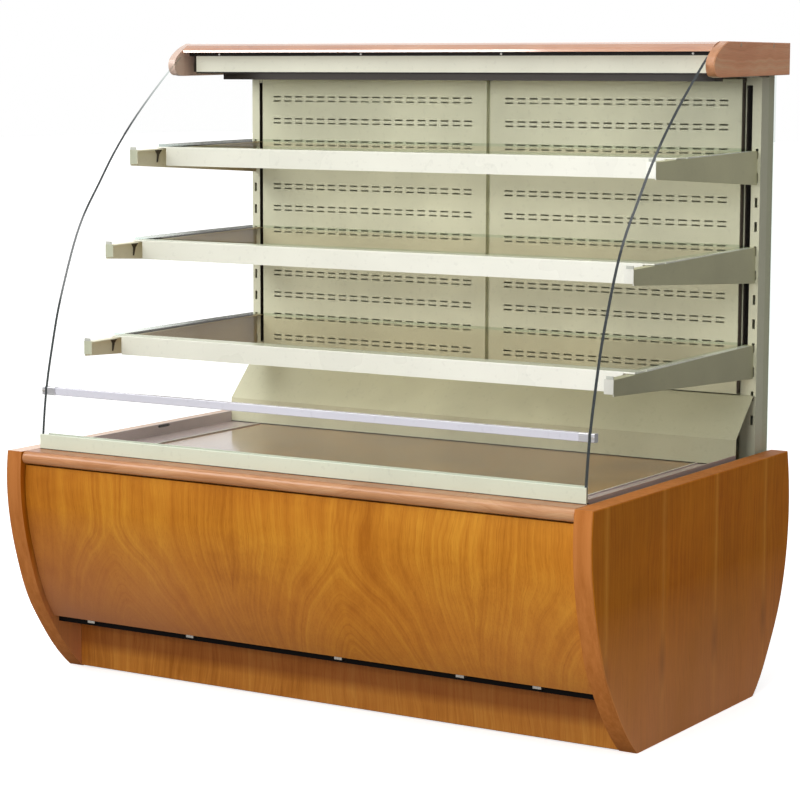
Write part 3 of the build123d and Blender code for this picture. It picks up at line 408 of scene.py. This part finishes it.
def glass(name, flat_axis, edge=(0.010, 0.035, 0.028), tint=(0.994, 0.999, 0.997), base=0.03, gain=0.9, smear=0.01,
          edge_rough=0.12, edge_clear=0.0, dark_axis=None, dark=1.0, fade=None, rear=None):
    """Clear float glass. Its big faces let the view through, and its ground edges are dark green."""
    mat, nt, out = new_mat(name)
    vec, x, y, z = coords(nt)
    geo = nt.nodes.new("ShaderNodeNewGeometry")
    sep = nt.nodes.new("ShaderNodeSeparateXYZ")
    nt.links.new(geo.outputs["Normal"], sep.inputs[0])
    n_ax = {"x": sep.outputs[0], "y": sep.outputs[1], "z": sep.outputs[2]}[flat_axis]
    is_edge = math_n(nt, "LESS_THAN", math_n(nt, "ABSOLUTE", n_ax), 0.6)
    film = noise(nt, vec, scale=6.0, detail=3.0)
    lw = nt.nodes.new("ShaderNodeLayerWeight")
    lw.inputs["Blend"].default_value = 0.5
    facing = math_n(nt, "POWER", lw.outputs["Facing"], 5.0)
    facing = math_n(nt, "MULTIPLY_ADD", facing, gain, base)
    fac = math_n(nt, "MULTIPLY_ADD", film, smear, facing, clamp=True)
    tr = nt.nodes.new("ShaderNodeBsdfTransparent")
    tr.inputs[0].default_value = (*tint, 1.0)
    gl = nt.nodes.new("ShaderNodeBsdfGlossy")
    gl.inputs["Color"].default_value = (1, 1, 1, 1)
    gl.inputs["Roughness"].default_value = 0.02
    face = nt.nodes.new("ShaderNodeMixShader")
    nt.links.new(fac, face.inputs[0])
    nt.links.new(tr.outputs[0], face.inputs[1])
    nt.links.new(gl.outputs[0], face.inputs[2])
    ed = nt.nodes.new("ShaderNodeBsdfPrincipled")
    grind = noise(nt, vec, scale=350.0, detail=2.0)
    ecol = ramp(nt, grind, [(0.3, tuple(c * 0.7 for c in edge)), (0.7, tuple(c * 1.4 for c in edge))])
    nt.links.new(ecol, ed.inputs["Base Color"])
    ed.inputs["Roughness"].default_value = edge_rough
    ed.inputs["Specular IOR Level"].default_value = 0.35
    etr = nt.nodes.new("ShaderNodeBsdfTransparent")
    etr.inputs[0].default_value = (0.90, 0.96, 0.93, 1.0)
    emx = nt.nodes.new("ShaderNodeMixShader")
    if dark_axis:
        # edges across one axis stay dark below a limit, the others let light through
        d_name, d_limit = dark_axis
        d_ax = math_n(nt, "GREATER_THAN", math_n(nt, "ABSOLUTE", sep.outputs["xyz".index(d_name)]), 0.3)
        d_ax = math_n(nt, "MULTIPLY", d_ax, math_n(nt, "LESS_THAN", {"x": x, "y": y, "z": z}[d_name], d_limit))
        if fade:
            # the left plate's edge grows clear towards the canopy
            fz = math_n(nt, "MULTIPLY_ADD", z, 1 / (fade[1] - fade[0]), -fade[0] / (fade[1] - fade[0]), clamp=True)
            fz = math_n(nt, "MULTIPLY", fz, math_n(nt, "LESS_THAN", x, 0.0))
            d_ax = math_n(nt, "MULTIPLY", d_ax, math_n(nt, "SUBTRACT", 1.0, fz))
        if rear:
            # the side edge is clear in front and dark where it lies on the bracket
            ry = math_n(nt, "MULTIPLY_ADD", y, 1 / (rear[1] - rear[0]), -rear[0] / (rear[1] - rear[0]), clamp=True)
            d_ax = math_n(nt, "MULTIPLY", d_ax, ry)
        nt.links.new(math_n(nt, "MULTIPLY_ADD", d_ax, -edge_clear * dark, edge_clear), emx.inputs[0])
    else:
        emx.inputs[0].default_value = edge_clear
    nt.links.new(ed.outputs[0], emx.inputs[1])
    nt.links.new(etr.outputs[0], emx.inputs[2])
    mx = nt.nodes.new("ShaderNodeMixShader")
    nt.links.new(is_edge, mx.inputs[0])
    nt.links.new(face.outputs[0], mx.inputs[1])
    nt.links.new(emx.outputs[0], mx.inputs[2])
    nt.links.new(mx.outputs[0], out.inputs[0])
    return mat


M = {}
# painted light: the front panel is brighter towards its right end, and painted floor light tints its lower part
M["wood_front"] = wood("wood_front", "x", hexc("94540E"), hexc("AE6C1C"), hexc("C28428"), leaf=0.565, apex=-0.42,
                       tone=hexc("AA6018"), tone_gain=0.3, painted_floor_light=(0.12, 0.38, hexc("A06848"), 0.95, 0.12), flame=0.26,
                       ends=((1.10, 1.10, 1.0), (1.32, 1.42, 1.5)))
# painted light: the right panel is brighter, painted floor light tints the lower parts, and the left panel's top edge
# has a painted highlight
M["wood_side"] = wood("wood_side", "y", hexc("B05E10"), hexc("C67418"), hexc("D28424"), tone=hexc("A86818"),
                      tone_gain=0.5, seed=3.7, flame=0.22, edge=("x", hexc("A4622C"), hexc("B8743C")), rough=0.55,
                      coat=0.0, spec=0.07, stripes=(0.235, 0.155, hexc("E8A444"), 0.45),
                      painted_floor_light=(0.02, 0.30, hexc("E8A070"), 0.7, 0.4), ends=((1.0, 1.0, 1.0), (1.14, 1.14, 1.08)),
                      left_top_glare=(hexc("F4DCCC"), 0.42, 0.85))
M["wood_kick"] = wood("wood_kick", "x", hexc("96560E"), hexc("B4701C"), hexc("C68828"), tone=hexc("A05C1C"),
                      tone_gain=0.3, seed=9.1, flame=0.18, shade=0.9, ends=((1.12, 1.15, 2.3), (1.10, 1.15, 2.4)))
# painted light and shade: the molding's right end is paler and its top face darker
M["wood_edge"] = wood("wood_edge", "z", hexc("A86A3C"), hexc("BC7E50"), hexc("CC9668"), along="x", seed=1.3,
                      fine=1.4, rough=0.26, coat=0.60, flame=0.2, spec=0.12, coat_rough=0.14, top_shade=True,
                      ends=((1.02, 1.10, 1.18), (1.05, 1.28, 1.55)))
M["wood_canopy"] = wood("wood_canopy", "z", hexc("A46440"), hexc("BC7C50"), hexc("CC946C"), along="x", seed=2.2,
                        fine=1.2, rough=0.16, coat=1.0, flame=0.2, spec=1.0, coat_rough=0.05, coat_ior=2.1)
# painted highlight: the left cap is mixed towards a pale tone
M["wood_cap"] = wood("wood_cap", "z", hexc("EE9A68"), hexc("FEB280"), hexc("FFC898"), along="y", seed=6.4,
                     fine=1.2, rough=0.30, coat=0.3, flame=0.3, spec=0.4, tone=hexc("D8885C"), tone_gain=0.5,
                     edge=("x", hexc("B07850"), hexc("C48C64")), left=(hexc("D8C4B8"), 0.75))
M["cream"] = paint("cream_paint", hexc("E2E2D0"))
# painted shade: the skirt grows darker towards its right end
M["skirt_paint"] = paint("skirt_paint", hexc("CFCEB2"), rough=0.34, mottle=0.07, patch=(hexc("B4B296"), 2.2, 0.5),
                         ends=((1.12, 1.12, 1.10), (0.72, 0.72, 0.68)))
M["cream_back"] = paint("cream_back", hexc("D3D4B8"), rough=0.46, mottle=0.07)
# painted light: the shelf rails grow brighter towards their right ends
M["cream_shelf"] = paint("cream_shelf", hexc("E6E6D8"), rough=0.28, mottle=0.03, coat=0.3, coat_rough=0.12,
                         ends=((0.92, 0.92, 0.91), (1.17, 1.17, 1.22)))
# painted light and shade on the brackets: brighter front faces on the right, a bright-to-brown gradient on the left
# inner faces, and the right brackets lighter higher up
M["bracket_paint"] = paint("bracket_paint", hexc("CECCA6"), rough=0.40, mottle=0.08,
                           front=(hexc("F0F0E6"), hexc("BABDA5")), inner=(hexc("FAF6DC"), hexc("A8946C")),
                           rise=(0.95, 0.85))
M["upright_paint"] = paint("upright_paint", hexc("D6D6BC"), rough=0.42)
M["rear_paint"] = paint("rear_paint", hexc("CECFB2"), rough=0.50, spec=0.2)
M["fascia_paint"] = paint("fascia_paint", hexc("D6DCC8"), rough=0.36, mottle=0.03)
M["liner"] = paint("liner_paint", hexc("C8C9C6"), rough=0.35)
M["dark"] = paint("dark_paint", hexc("1C1612"), rough=0.5, peel=0.35, spec=0.3)
M["frame_black"] = paint("frame_black", hexc("0A0706"), rough=0.7, peel=0.35, spec=0.1)
M["grille_dark"] = paint("grille_dark", hexc("2A241E"), rough=0.45, peel=0.35, spec=0.3)
# the three dark materials below also serve as painted shade: dark pieces put where there is only shade
M["black_void"] = plastic("black_pocket_and_joint_shadow", hexc("0E0B08"), rough=0.8, depth=0.1)
M["gap_brown"] = plastic("dark_brown_parts_and_shade", hexc("2C241A"), rough=0.8, depth=0.1)
M["gasket"] = plastic("gasket_rubber", hexc("50463A"), rough=0.7, depth=0.1)
# painted reflection: the deck's brown colour and dark patches stand in for the wood and shade mirrored in the deck
M["deck"] = paint("deck_gloss", hexc("A2702F"), rough=0.17, peel=0.03, mottle=0.10, coat=0.30, coat_rough=0.10,
                  patch=(hexc("643812"), 4.5, 0.8), spec=0.35)
M["trim"] = paint("trim_paint", hexc("C0AEAC"), rough=0.24, mottle=0.06, coat=0.3)
M["rail"] = paint("rail_lacquer", hexc("D4D4DE"), rough=0.24, peel=0.05, mottle=0.03, coat=0.6, coat_rough=0.1)
M["clamp"] = metal("clamp_metal", (0.86, 0.86, 0.90), rough=0.34, streak="x")
M["filler"] = plastic("filler_strip", hexc("B89468"), rough=0.5, depth=0.1)
M["steel"] = metal("plated_steel", (0.80, 0.78, 0.72), rough=0.28, streak="z")
M["galv"] = galvanised("galvanised_sheet")
M["fin"] = metal("fin_aluminium", (0.82, 0.83, 0.84), rough=0.35, streak="z", gain=0.2)
M["enamel"] = paint("black_enamel", hexc("16161A"), rough=0.30, peel=0.4, mottle=0.1)
M["fan"] = plastic("fan_plastic", hexc("2A2A2E"), rough=0.42)
M["copper"] = metal("copper_tube", (0.72, 0.40, 0.24), rough=0.30, streak="x", gain=0.2)
M["black"] = plastic("black_plastic", hexc("1A1A1C"), rough=0.5)
M["clear_stop"] = plastic("stop_plastic", hexc("C4C6BC"), rough=0.25, depth=0.02)
M["digit"] = plastic("digit_segments", hexc("C83A20"), rough=0.3, depth=0.02)
M["plug"] = plastic("plug_plastic", hexc("D8B090"), rough=0.35, depth=0.05)
M["lamp"] = plastic("lamp_opal", hexc("F2F2EC"), rough=0.25, depth=0.02)
M["glass_side"] = glass("side_glass", "x", edge=(0.030, 0.036, 0.038), base=0.0, gain=0.10, smear=0.0,
                        tint=(0.998, 0.999, 0.998), edge_clear=0.9, dark_axis=("y", 0.40),
                        fade=(1.15, 1.29))
M["glass_front"] = glass("front_glass", "y", edge=(0.16, 0.20, 0.19), base=0.015, gain=0.4, edge_clear=0.94)
M["glass_shelf"] = glass("shelf_glass", "z", edge=(0.055, 0.050, 0.040), base=0.0, gain=0.08, smear=0.0, edge_clear=0.95,
                         tint=(0.965, 0.95, 0.92), dark_axis=("x", 0.0), dark=0.85, rear=(-0.10, 0.16))

SLOTS = {
    "wood_front": ["front_panel"], "wood_side": ["side_panel_left", "side_panel_right"], "wood_kick": ["kick_plate"],
    "wood_edge": ["top_molding"], "wood_cap": ["canopy_caps"], "wood_canopy": ["canopy_front_rail", "canopy_top"],
    "skirt_paint": ["lower_rear_panel"], "cream": ["canopy_light_panel", "canopy_ribs", "return_air_grille"],
    "cream_back": ["air_panel_left", "air_panel_right"], "rear_paint": ["rear_wall"],
    "upright_paint": ["uprights"], "fascia_paint": ["front_fascia"],
    "cream_shelf": ["upper_shelf_rail", "middle_shelf_rail", "lower_shelf_rail"],
    "bracket_paint": ["upper_shelf_brackets", "middle_shelf_brackets", "lower_shelf_brackets"],
    "liner": ["insulated_tub"], "deck": ["deck_panel"], "trim": ["deck_side_trims"],
    "rail": ["glass_rail"], "filler": ["side_glass_channels"], "clamp": ["rail_clamps"],
    "steel": ["fixing_screws", "front_panel_clips", "levelling_feet"],
    "frame_black": ["base_frame"], "dark": ["rear_service_grille", "canopy_seal", "control_box"], "grille_dark": ["air_discharge_grille"],
    "galv": ["evaporator_fan_plate", "condensate_drain"], "fin": ["evaporator_coil", "condenser_coil"],
    "enamel": ["fan_motors", "compressor"], "fan": ["evaporator_fan_left", "evaporator_fan_right", "condenser_fan"],
    "copper": ["refrigerant_lines"],
    "black": ["controller_face", "button_set", "button_defrost", "main_switch", "light_switch", "power_inlet"],
    "lamp": ["lamp"], "glass_side": ["side_glass_left", "side_glass_right"], "glass_front": ["front_glass"],
    "glass_shelf": ["upper_shelf_glass", "middle_shelf_glass", "lower_shelf_glass"],
}
for key, names in SLOTS.items():
    for name in names:
        ob = nodes_cad[name]
        if not ob.material_slots:
            ob.data.materials.append(M[key])
        for s in ob.material_slots:
            s.material = M[key]


# -------------------------------------------------------------- mesh helpers
def mesh_object(name, verts, faces, mat, smooth=False):
    me = bpy.data.meshes.new(name)
    me.from_pydata(verts, [], faces)
    me.update()
    ob = bpy.data.objects.new(name, me)
    bpy.context.scene.collection.objects.link(ob)
    me.materials.append(mat)
    for p in me.polygons:
        p.use_smooth = smooth
    return ob


def box_verts(x0, x1, d0, d1, z0, z1):
    xs, ys, zs = (x0 / 1000, x1 / 1000), (yd(d0), yd(d1)), (z0 / 1000, z1 / 1000)
    return [(xs[i], ys[j], zs[k]) for k in (0, 1) for j in (0, 1) for i in (0, 1)]


BOX_FACES = [(0, 2, 3, 1), (4, 5, 7, 6), (0, 1, 5, 4), (2, 6, 7, 3), (0, 4, 6, 2), (1, 3, 7, 5)]


def boxes(name, items, mat, bevel=0.0, body="root"):
    verts, faces = [], []
    for it in items:
        n = len(verts)
        verts += box_verts(*it)
        faces += [tuple(n + i for i in f) for f in BOX_FACES]
    ob = mesh_object(name, verts, faces, mat)
    if bevel:
        m = ob.modifiers.new("bevel", "BEVEL")
        m.width = bevel / 1000
        m.segments = 2
        m.limit_method = "ANGLE"
    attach(ob, body)
    return ob


def prisms(name, items, mat, axis="x", bevel=0.0, body="root"):
    """Extruded outlines. Each item is (outline, a0, a1), millimetres; an outline holds pairs in the plane
    across the axis: (d, z) for x, (x, z) for y and (x, d) for z."""
    verts, faces = [], []
    for outline, a0, a1 in items:
        n, k = len(verts), len(outline)
        for a in (a0, a1):
            for p, q in outline:
                if axis == "x":
                    verts.append((a / 1000, yd(p), q / 1000))
                elif axis == "y":
                    verts.append((p / 1000, yd(a), q / 1000))
                else:
                    verts.append((p / 1000, yd(q), a / 1000))
        faces.append(tuple(n + i for i in reversed(range(k))))
        faces.append(tuple(n + k + i for i in range(k)))
        for i in range(k):
            j = (i + 1) % k
            faces.append((n + i, n + j, n + k + j, n + k + i))
    ob = mesh_object(name, verts, faces, mat)
    bm = bmesh.new()
    bm.from_mesh(ob.data)
    bmesh.ops.recalc_face_normals(bm, faces=bm.faces)
    bm.to_mesh(ob.data)
    bm.free()
    if bevel:
        m = ob.modifiers.new("bevel", "BEVEL")
        m.width = bevel / 1000
        m.segments = 2
        m.limit_method = "ANGLE"
    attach(ob, body)
    return ob


def ring_outline(cx, cy, r, n=24):
    return [(cx + r * math.cos(2 * math.pi * i / n), cy + r * math.sin(2 * math.pi * i / n)) for i in range(n)]


def lathe(name, items, mat, body="root", n=20):
    """Turned pieces about axes along Y. Each item is (x, z, [(radius, depth d), ...])."""
    verts, faces = [], []
    for cx, cz, prof in items:
        n0 = len(verts)
        for r, d in prof:
            for i in range(n):
                a = 2 * math.pi * i / n
                verts.append(((cx + r * math.cos(a)) / 1000, yd(d), (cz + r * math.sin(a)) / 1000))
        for k in range(len(prof) - 1):
            for i in range(n):
                j = (i + 1) % n
                faces.append((n0 + k * n + i, n0 + k * n + j, n0 + (k + 1) * n + j, n0 + (k + 1) * n + i))
        faces.append(tuple(n0 + i for i in range(n)))
        faces.append(tuple(n0 + (len(prof) - 1) * n + i for i in reversed(range(n))))
    ob = mesh_object(name, verts, faces, mat, smooth=False)
    bm = bmesh.new()
    bm.from_mesh(ob.data)
    bmesh.ops.recalc_face_normals(bm, faces=bm.faces)
    bm.to_mesh(ob.data)
    bm.free()
    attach(ob, body)
    return ob


# painted shade: dark sheets in the duct gaps beside the back panels, where there is only shade
duct_shade, gaskets = [], []
for sgn in (-1, 1):
    for a, b, d0, d1 in ((604.2, 614.3, 845, 849.6), (604.1, 604.5, 816.2, 846), (613.9, 614.35, 815.2, 846)):
        x0, x1 = sorted((sgn * a, sgn * b))
        duct_shade.append((x0, x1, d0, d1, 650, 1245))
    # painted shade: dark strips on the outer sides of the back panels' return flanges, which lie in shade
    x0, x1 = sorted((sgn * (596.6 if sgn > 0 else 595.4), sgn * 598.2))
    gaskets.append((x0, x1, 803.2, 815.6, 612, 1257))
# painted shade: dark strips over the front faces of the duct dividers, the wider one on the left
duct_shade.append((-604.3, -599.2, 815.2, 815.9, 649, 1245.5))
duct_shade.append((601.8, 604.3, 815.2, 815.9, 649, 1245.5))
boxes("duct_gap_shade", duct_shade, M["gap_brown"])
boxes("back_panel_gaskets", gaskets, M["gasket"], bevel=0.4)

# shelf hardware: clear end stops on the bracket noses; the dark pieces behind the rail ends are painted shade in the
# notches there
SHELVES = {"upper": (349.6, 1102.3, 33.0, 1112.2), "middle": (262.2, 904.3, 30.0, 914.9),
           "lower": (186.2, 703.9, 31.0, 712.9)}
stops, notch_shade, clips, pads = [], [], [], {-1: [], 1: []}
for nd, nz, nh, rz in SHELVES.values():
    lip = nd + 91.0
    tilt = (rz - nz) / (815 - nd)
    top_z = nz + 91 * tilt
    for sgn in (-1, 1):
        x0, x1 = sorted((sgn * 611.5, sgn * 626.5))
        stops.append(([(nd - 1.4, nz + 1.1), (nd + 0.6, nz + 1.1), (nd + 0.6, nz + 6.4), (nd - 0.2, nz + 7.2),
                       (nd - 1.4, nz + 7.2)], x0, x1))
        # painted shade: a dark piece on each bracket web behind the rail end, where the notch lies in shade
        x0, x1 = sorted((sgn * 623.6, sgn * 625.1))
        notch_shade.append(([(lip - 8, top_z - 2.3), (lip + 18, top_z - 2.0), (lip + 7, top_z - 13), (lip + 1.6, top_z - 30),
                        (lip - 1.4, top_z - 30), (lip - 0.5, top_z - 13)], x0, x1))
        # wedge-shaped pad that carries the plate on the bracket
        x0, x1 = sorted((sgn * 612.0, sgn * 626.6))
        gap_f, gap_r = lip + 46.0, 793.0
        pads[sgn].append(([(gap_f, nz + (gap_f - nd) * tilt + 0.05), (gap_r, nz + (gap_r - nd) * tilt + 0.05),
                           (gap_r, nz + (gap_r - nd) * tilt + 0.35),
                           (gap_f, nz + 5.3 + (rz - nz - 5.3) * 0.0 + (nz + (795 - nd) * tilt + 0.3 - nz - 5.3)
                            * (gap_f - lip - 45) / (795 - lip - 45) - 0.05)], x0, x1))
        # folded tab that closes the rail's end
        x0, x1 = sorted((sgn * 598.4, sgn * 600.0))
        clips.append(([(lip + 1.9, top_z + 3), (lip + 12, top_z + 3), (lip + 12, nz - 33), (lip + 1.9, nz - 33)], x0, x1))
prisms("shelf_end_stops", stops, M["clear_stop"], bevel=0.3)
prisms("rail_end_notch_shade", notch_shade, M["gasket"])
# painted shade: the pads on the left brackets are dark brown and those on the right cream, the same part lit and in
# shade
prisms("shelf_pads_left_shaded", pads[-1], M["gap_brown"])
prisms("shelf_pads_right", pads[1], M["cream_shelf"])
prisms("rail_end_tabs", clips, M["cream_shelf"], bevel=0.25)

# dark strip along the foot of the rear skirt and along the lower edge of the canopy panel
prisms("skirt_foot_seal", [([(719.6, 472.3), (719.6, 472.6), (721.0, 473.3), (723.8, 473.3), (723.8, 472.3)], -631.5, 631.5)],
       M["gap_brown"])
prisms("canopy_edge_strip", [([(581.0, 1266.6), (581.0, 1270.0), (581.9, 1270.0), (581.9, 1268.9), (590, 1268.9),
                               (590, 1267.2), (589, 1266.6)], -621, 621)], M["dark"])

# sensor pocket in the left side trim, with its grille bars
pocket = [([(487, 491.0), (482, 493.8), (448, 493.8), (443, 491.0), (448, 488.2), (482, 488.2)], -631.9, -631.2)]
prisms("sensor_pocket", pocket, M["black_void"])
prisms("sensor_pocket_bars", [([(452 + 7 * k, 488.6), (454 + 7 * k, 488.6), (454 + 7 * k, 493.4), (452 + 7 * k, 493.4)],
                               -631.2, -630.6) for k in range(5)], M["gasket"])

# thin seal under the fascia and dark end pieces of the light panel
prisms("fascia_foot_seal", [([(53.5, 490.1), (54.0, 490.1), (54.0, 491.4), (53.7, 491.4)], -641.2, 641.2)], M["gasket"])
ends = []
for sgn in (-1, 1):
    x0, x1 = sorted((sgn * 621.2, sgn * 630.0))
    ends.append(([(584, 1270.0), (585.5, 1304.2), (638, 1304.2), (638, 1270.0)], x0, x1))
prisms("light_panel_ends", ends, M["gap_brown"], bevel=0.5)

# pale lip on the bead beside the deck
lips = []
for sgn in (-1, 1):
    x0, x1 = sorted((sgn * 547.9, sgn * 550.2))
    lips.append(([(78, 473.5), (78, 474.3), (79, 474.7), (716, 474.7), (717, 474.3), (717, 473.5)], x0, x1))
prisms("deck_bead_lips", lips, M["cream_shelf"])

# screw plugs in the outer faces of the canopy caps
plugs = []
for sgn in (-1, 1):
    for d in (652.0, 811.0):
        x0, x1 = sorted((sgn * 660.0, sgn * 660.7))
        plugs.append((ring_outline(d, 1325.5, 4.2), x0, x1))
prisms("cap_plugs", plugs, M["plug"], bevel=0.3)

# screws along the rear wall and the service grille
screws = []
for x in (-600, -300, 0, 250, 600):
    for z in (500, 880, 1230):
        screws.append((x, z, [(4.2, 877.0), (4.2, 878.0), (3.2, 879.0), (1.6, 879.3), (1.5, 878.4)]))
lathe("rear_wall_screws", screws, M["steel"])

# figures in the controller's window and marks beside the switches
SEG = {"0": "abcdef", "4": "bcfg"}
segs = []


def digit(ch, cx, cz, w=5.2, h=9.6, t=1.1):
    lines = {"a": (cx - w / 2 + t, cx + w / 2 - t, cz + h / 2 - t, cz + h / 2), "g": (cx - w / 2 + t, cx + w / 2 - t, cz - t / 2, cz + t / 2),
             "d": (cx - w / 2 + t, cx + w / 2 - t, cz - h / 2, cz - h / 2 + t), "f": (cx + w / 2 - t, cx + w / 2, cz + 0.3, cz + h / 2 - t / 2),
             "b": (cx - w / 2, cx - w / 2 + t, cz + 0.3, cz + h / 2 - t / 2), "e": (cx + w / 2 - t, cx + w / 2, cz - h / 2 + t / 2, cz - 0.3),
             "c": (cx - w / 2, cx - w / 2 + t, cz - h / 2 + t / 2, cz - 0.3)}
    for key in SEG[ch]:
        x0, x1, z0, z1 = lines[key]
        segs.append((x0, x1, 893.45, 893.75, z0, z1))


digit("0", 405.5, 1295)
digit("4", 396.5, 1295)
boxes("controller_figures", segs, M["digit"])
marks = []
for x in (500.0, 540.0):
    marks.append((x - 0.7, x + 0.7, 894.25, 894.45, 1309.9, 1313.6))
boxes("switch_marks", marks, M["lamp"])

# lamp end caps, each with a narrower collar on its inner side
caps = []
for sgn in (-1, 1):
    for r, a, b in ((9.2, 560, 577.6), (8.7, 556, 560)):
        x0, x1 = sorted((sgn * a, sgn * b))
        caps.append((ring_outline(614, 1288, r), x0, x1))
prisms("lamp_end_caps", caps, M["steel"], bevel=0.4)

# joint shadow lines where the molding meets the side panels
joints = []
for sgn in (-1, 1):
    x0, x1 = sorted((sgn * 645.1, sgn * 646.5))
    joints.append(([(14, 465.5), (60, 465.5), (60, 488.0), (14, 488.0), (5, 484), (2.5, 477), (5, 470)], x0, x1))
prisms("molding_joint_fill", joints, M["black_void"])

# ---------------------------------------------------------------------- stage
floor_mat, nt, out = new_mat("floor")
vec, x, y, z = coords(nt)
fl = noise(nt, vec, scale=2.0, detail=3.0)
pr = principled(nt, out, Base_Color=ramp(nt, fl, [(0.3, (0.86, 0.86, 0.86)), (0.7, (0.88, 0.88, 0.88))]), Roughness=0.8,
                Specular_IOR_Level=0.1, Emission_Color=(1.0, 1.0, 1.0), Emission_Strength=0.62)
dim = add(nt, "ShaderNodeBsdfDiffuse", inputs={"Color": (0.34, 0.33, 0.32, 1.0)})
flp = nt.nodes.new("ShaderNodeLightPath")
fmx = nt.nodes.new("ShaderNodeMixShader")
nt.links.new(flp.outputs["Is Camera Ray"], fmx.inputs[0])
nt.links.new(dim.outputs[0], fmx.inputs[1])
nt.links.new(pr.outputs[0], fmx.inputs[2])
nt.links.new(fmx.outputs[0], out.inputs[0])
floor = mesh_object("floor", [(-30, -30, 0), (30, -30, 0), (30, 40, 0), (-30, 40, 0)], [(0, 1, 2, 3)], floor_mat)

world = bpy.data.worlds.new("studio")
bpy.context.scene.world = world
world.use_nodes = True
wn = world.node_tree
wn.nodes.clear()
wout = wn.nodes.new("ShaderNodeOutputWorld")
wtc = wn.nodes.new("ShaderNodeTexCoord")
wsep = wn.nodes.new("ShaderNodeSeparateXYZ")
wn.links.new(wtc.outputs["Generated"], wsep.inputs[0])
# brighter from the front left and above, dimmer from the right
side = math_n(wn, "MULTIPLY_ADD", wsep.outputs[0], -0.34, 0.52)
side = math_n(wn, "MULTIPLY_ADD", wsep.outputs[1], -0.14, side)
side = math_n(wn, "MULTIPLY_ADD", wsep.outputs[2], 0.16, side, clamp=True)
# a bright backdrop behind the object
behind = math_n(wn, "MULTIPLY_ADD", wsep.outputs[1], 3.0, -1.5, clamp=True)
behind = math_n(wn, "MULTIPLY", behind, math_n(wn, "MULTIPLY_ADD", wsep.outputs[0], -1.6, 0.3, clamp=True))
side = math_n(wn, "MULTIPLY_ADD", behind, 0.75, side)
amb = wn.nodes.new("ShaderNodeBackground")
amb.inputs[0].default_value = (1.0, 0.995, 0.985, 1)
wn.links.new(side, amb.inputs[1])
seen = wn.nodes.new("ShaderNodeBackground")
seen.inputs[0].default_value = (1, 1, 1, 1)
seen.inputs[1].default_value = 1.0
lp = wn.nodes.new("ShaderNodeLightPath")
wmx = wn.nodes.new("ShaderNodeMixShader")
wn.links.new(lp.outputs["Is Camera Ray"], wmx.inputs[0])
wn.links.new(amb.outputs[0], wmx.inputs[1])
wn.links.new(seen.outputs[0], wmx.inputs[2])
wn.links.new(wmx.outputs[0], wout.inputs[0])


def area(name, loc, target, size, energy, size_y=None):
    li = bpy.data.lights.new(name, "AREA")
    li.energy = energy
    li.size = size
    if size_y:
        li.shape = "RECTANGLE"
        li.size_y = size_y
    ob = bpy.data.objects.new(name, li)
    bpy.context.scene.collection.objects.link(ob)
    ob.location = loc
    ob.rotation_euler = (Vector(target) - Vector(loc)).to_track_quat("-Z", "Y").to_euler()
    return ob


area("front", (0.9, -6.2, 2.0), (0, 0, 0.80), 2.4, 128, 1.4)
area("under_canopy", (0.0, yd(596), 1.262), (0.0, yd(802), 1.16), 1.1, 0.35, 0.03)
area("key", (-2.7, -2.6, 3.3), (0, 0, 0.9), 2.2, 62, 1.8)
area("top", (0.0, -1.2, 4.2), (0, 0, 0.6), 3.0, 34, 2.0)

cam = bpy.data.cameras.new("camera")
cam.lens = 113.98
cam.sensor_width = 36.0
cam.clip_end = 200.0
cam_ob = bpy.data.objects.new("camera", cam)
bpy.context.scene.collection.objects.link(cam_ob)
a, e, r = math.radians(31.926), math.radians(7.343), math.radians(0.154)
right = Vector((math.cos(a), math.sin(a), 0))
fwd = Vector((-math.sin(a) * math.cos(e), math.cos(a) * math.cos(e), -math.sin(e)))
up = Vector((-math.sin(a) * math.sin(e), math.cos(a) * math.sin(e), math.cos(e)))
cx = right * math.cos(r) + up * math.sin(r)
cy = up * math.cos(r) - right * math.sin(r)
rot = Matrix((cx, cy, -fwd)).transposed()
cam_ob.matrix_world = Matrix.Translation((2.7583, -4.4302, 1.2674)) @ rot.to_4x4()
bpy.context.scene.camera = cam_ob
bpy.context.scene.view_settings.view_transform = "Standard"
bpy.context.scene.view_settings.look = "None"
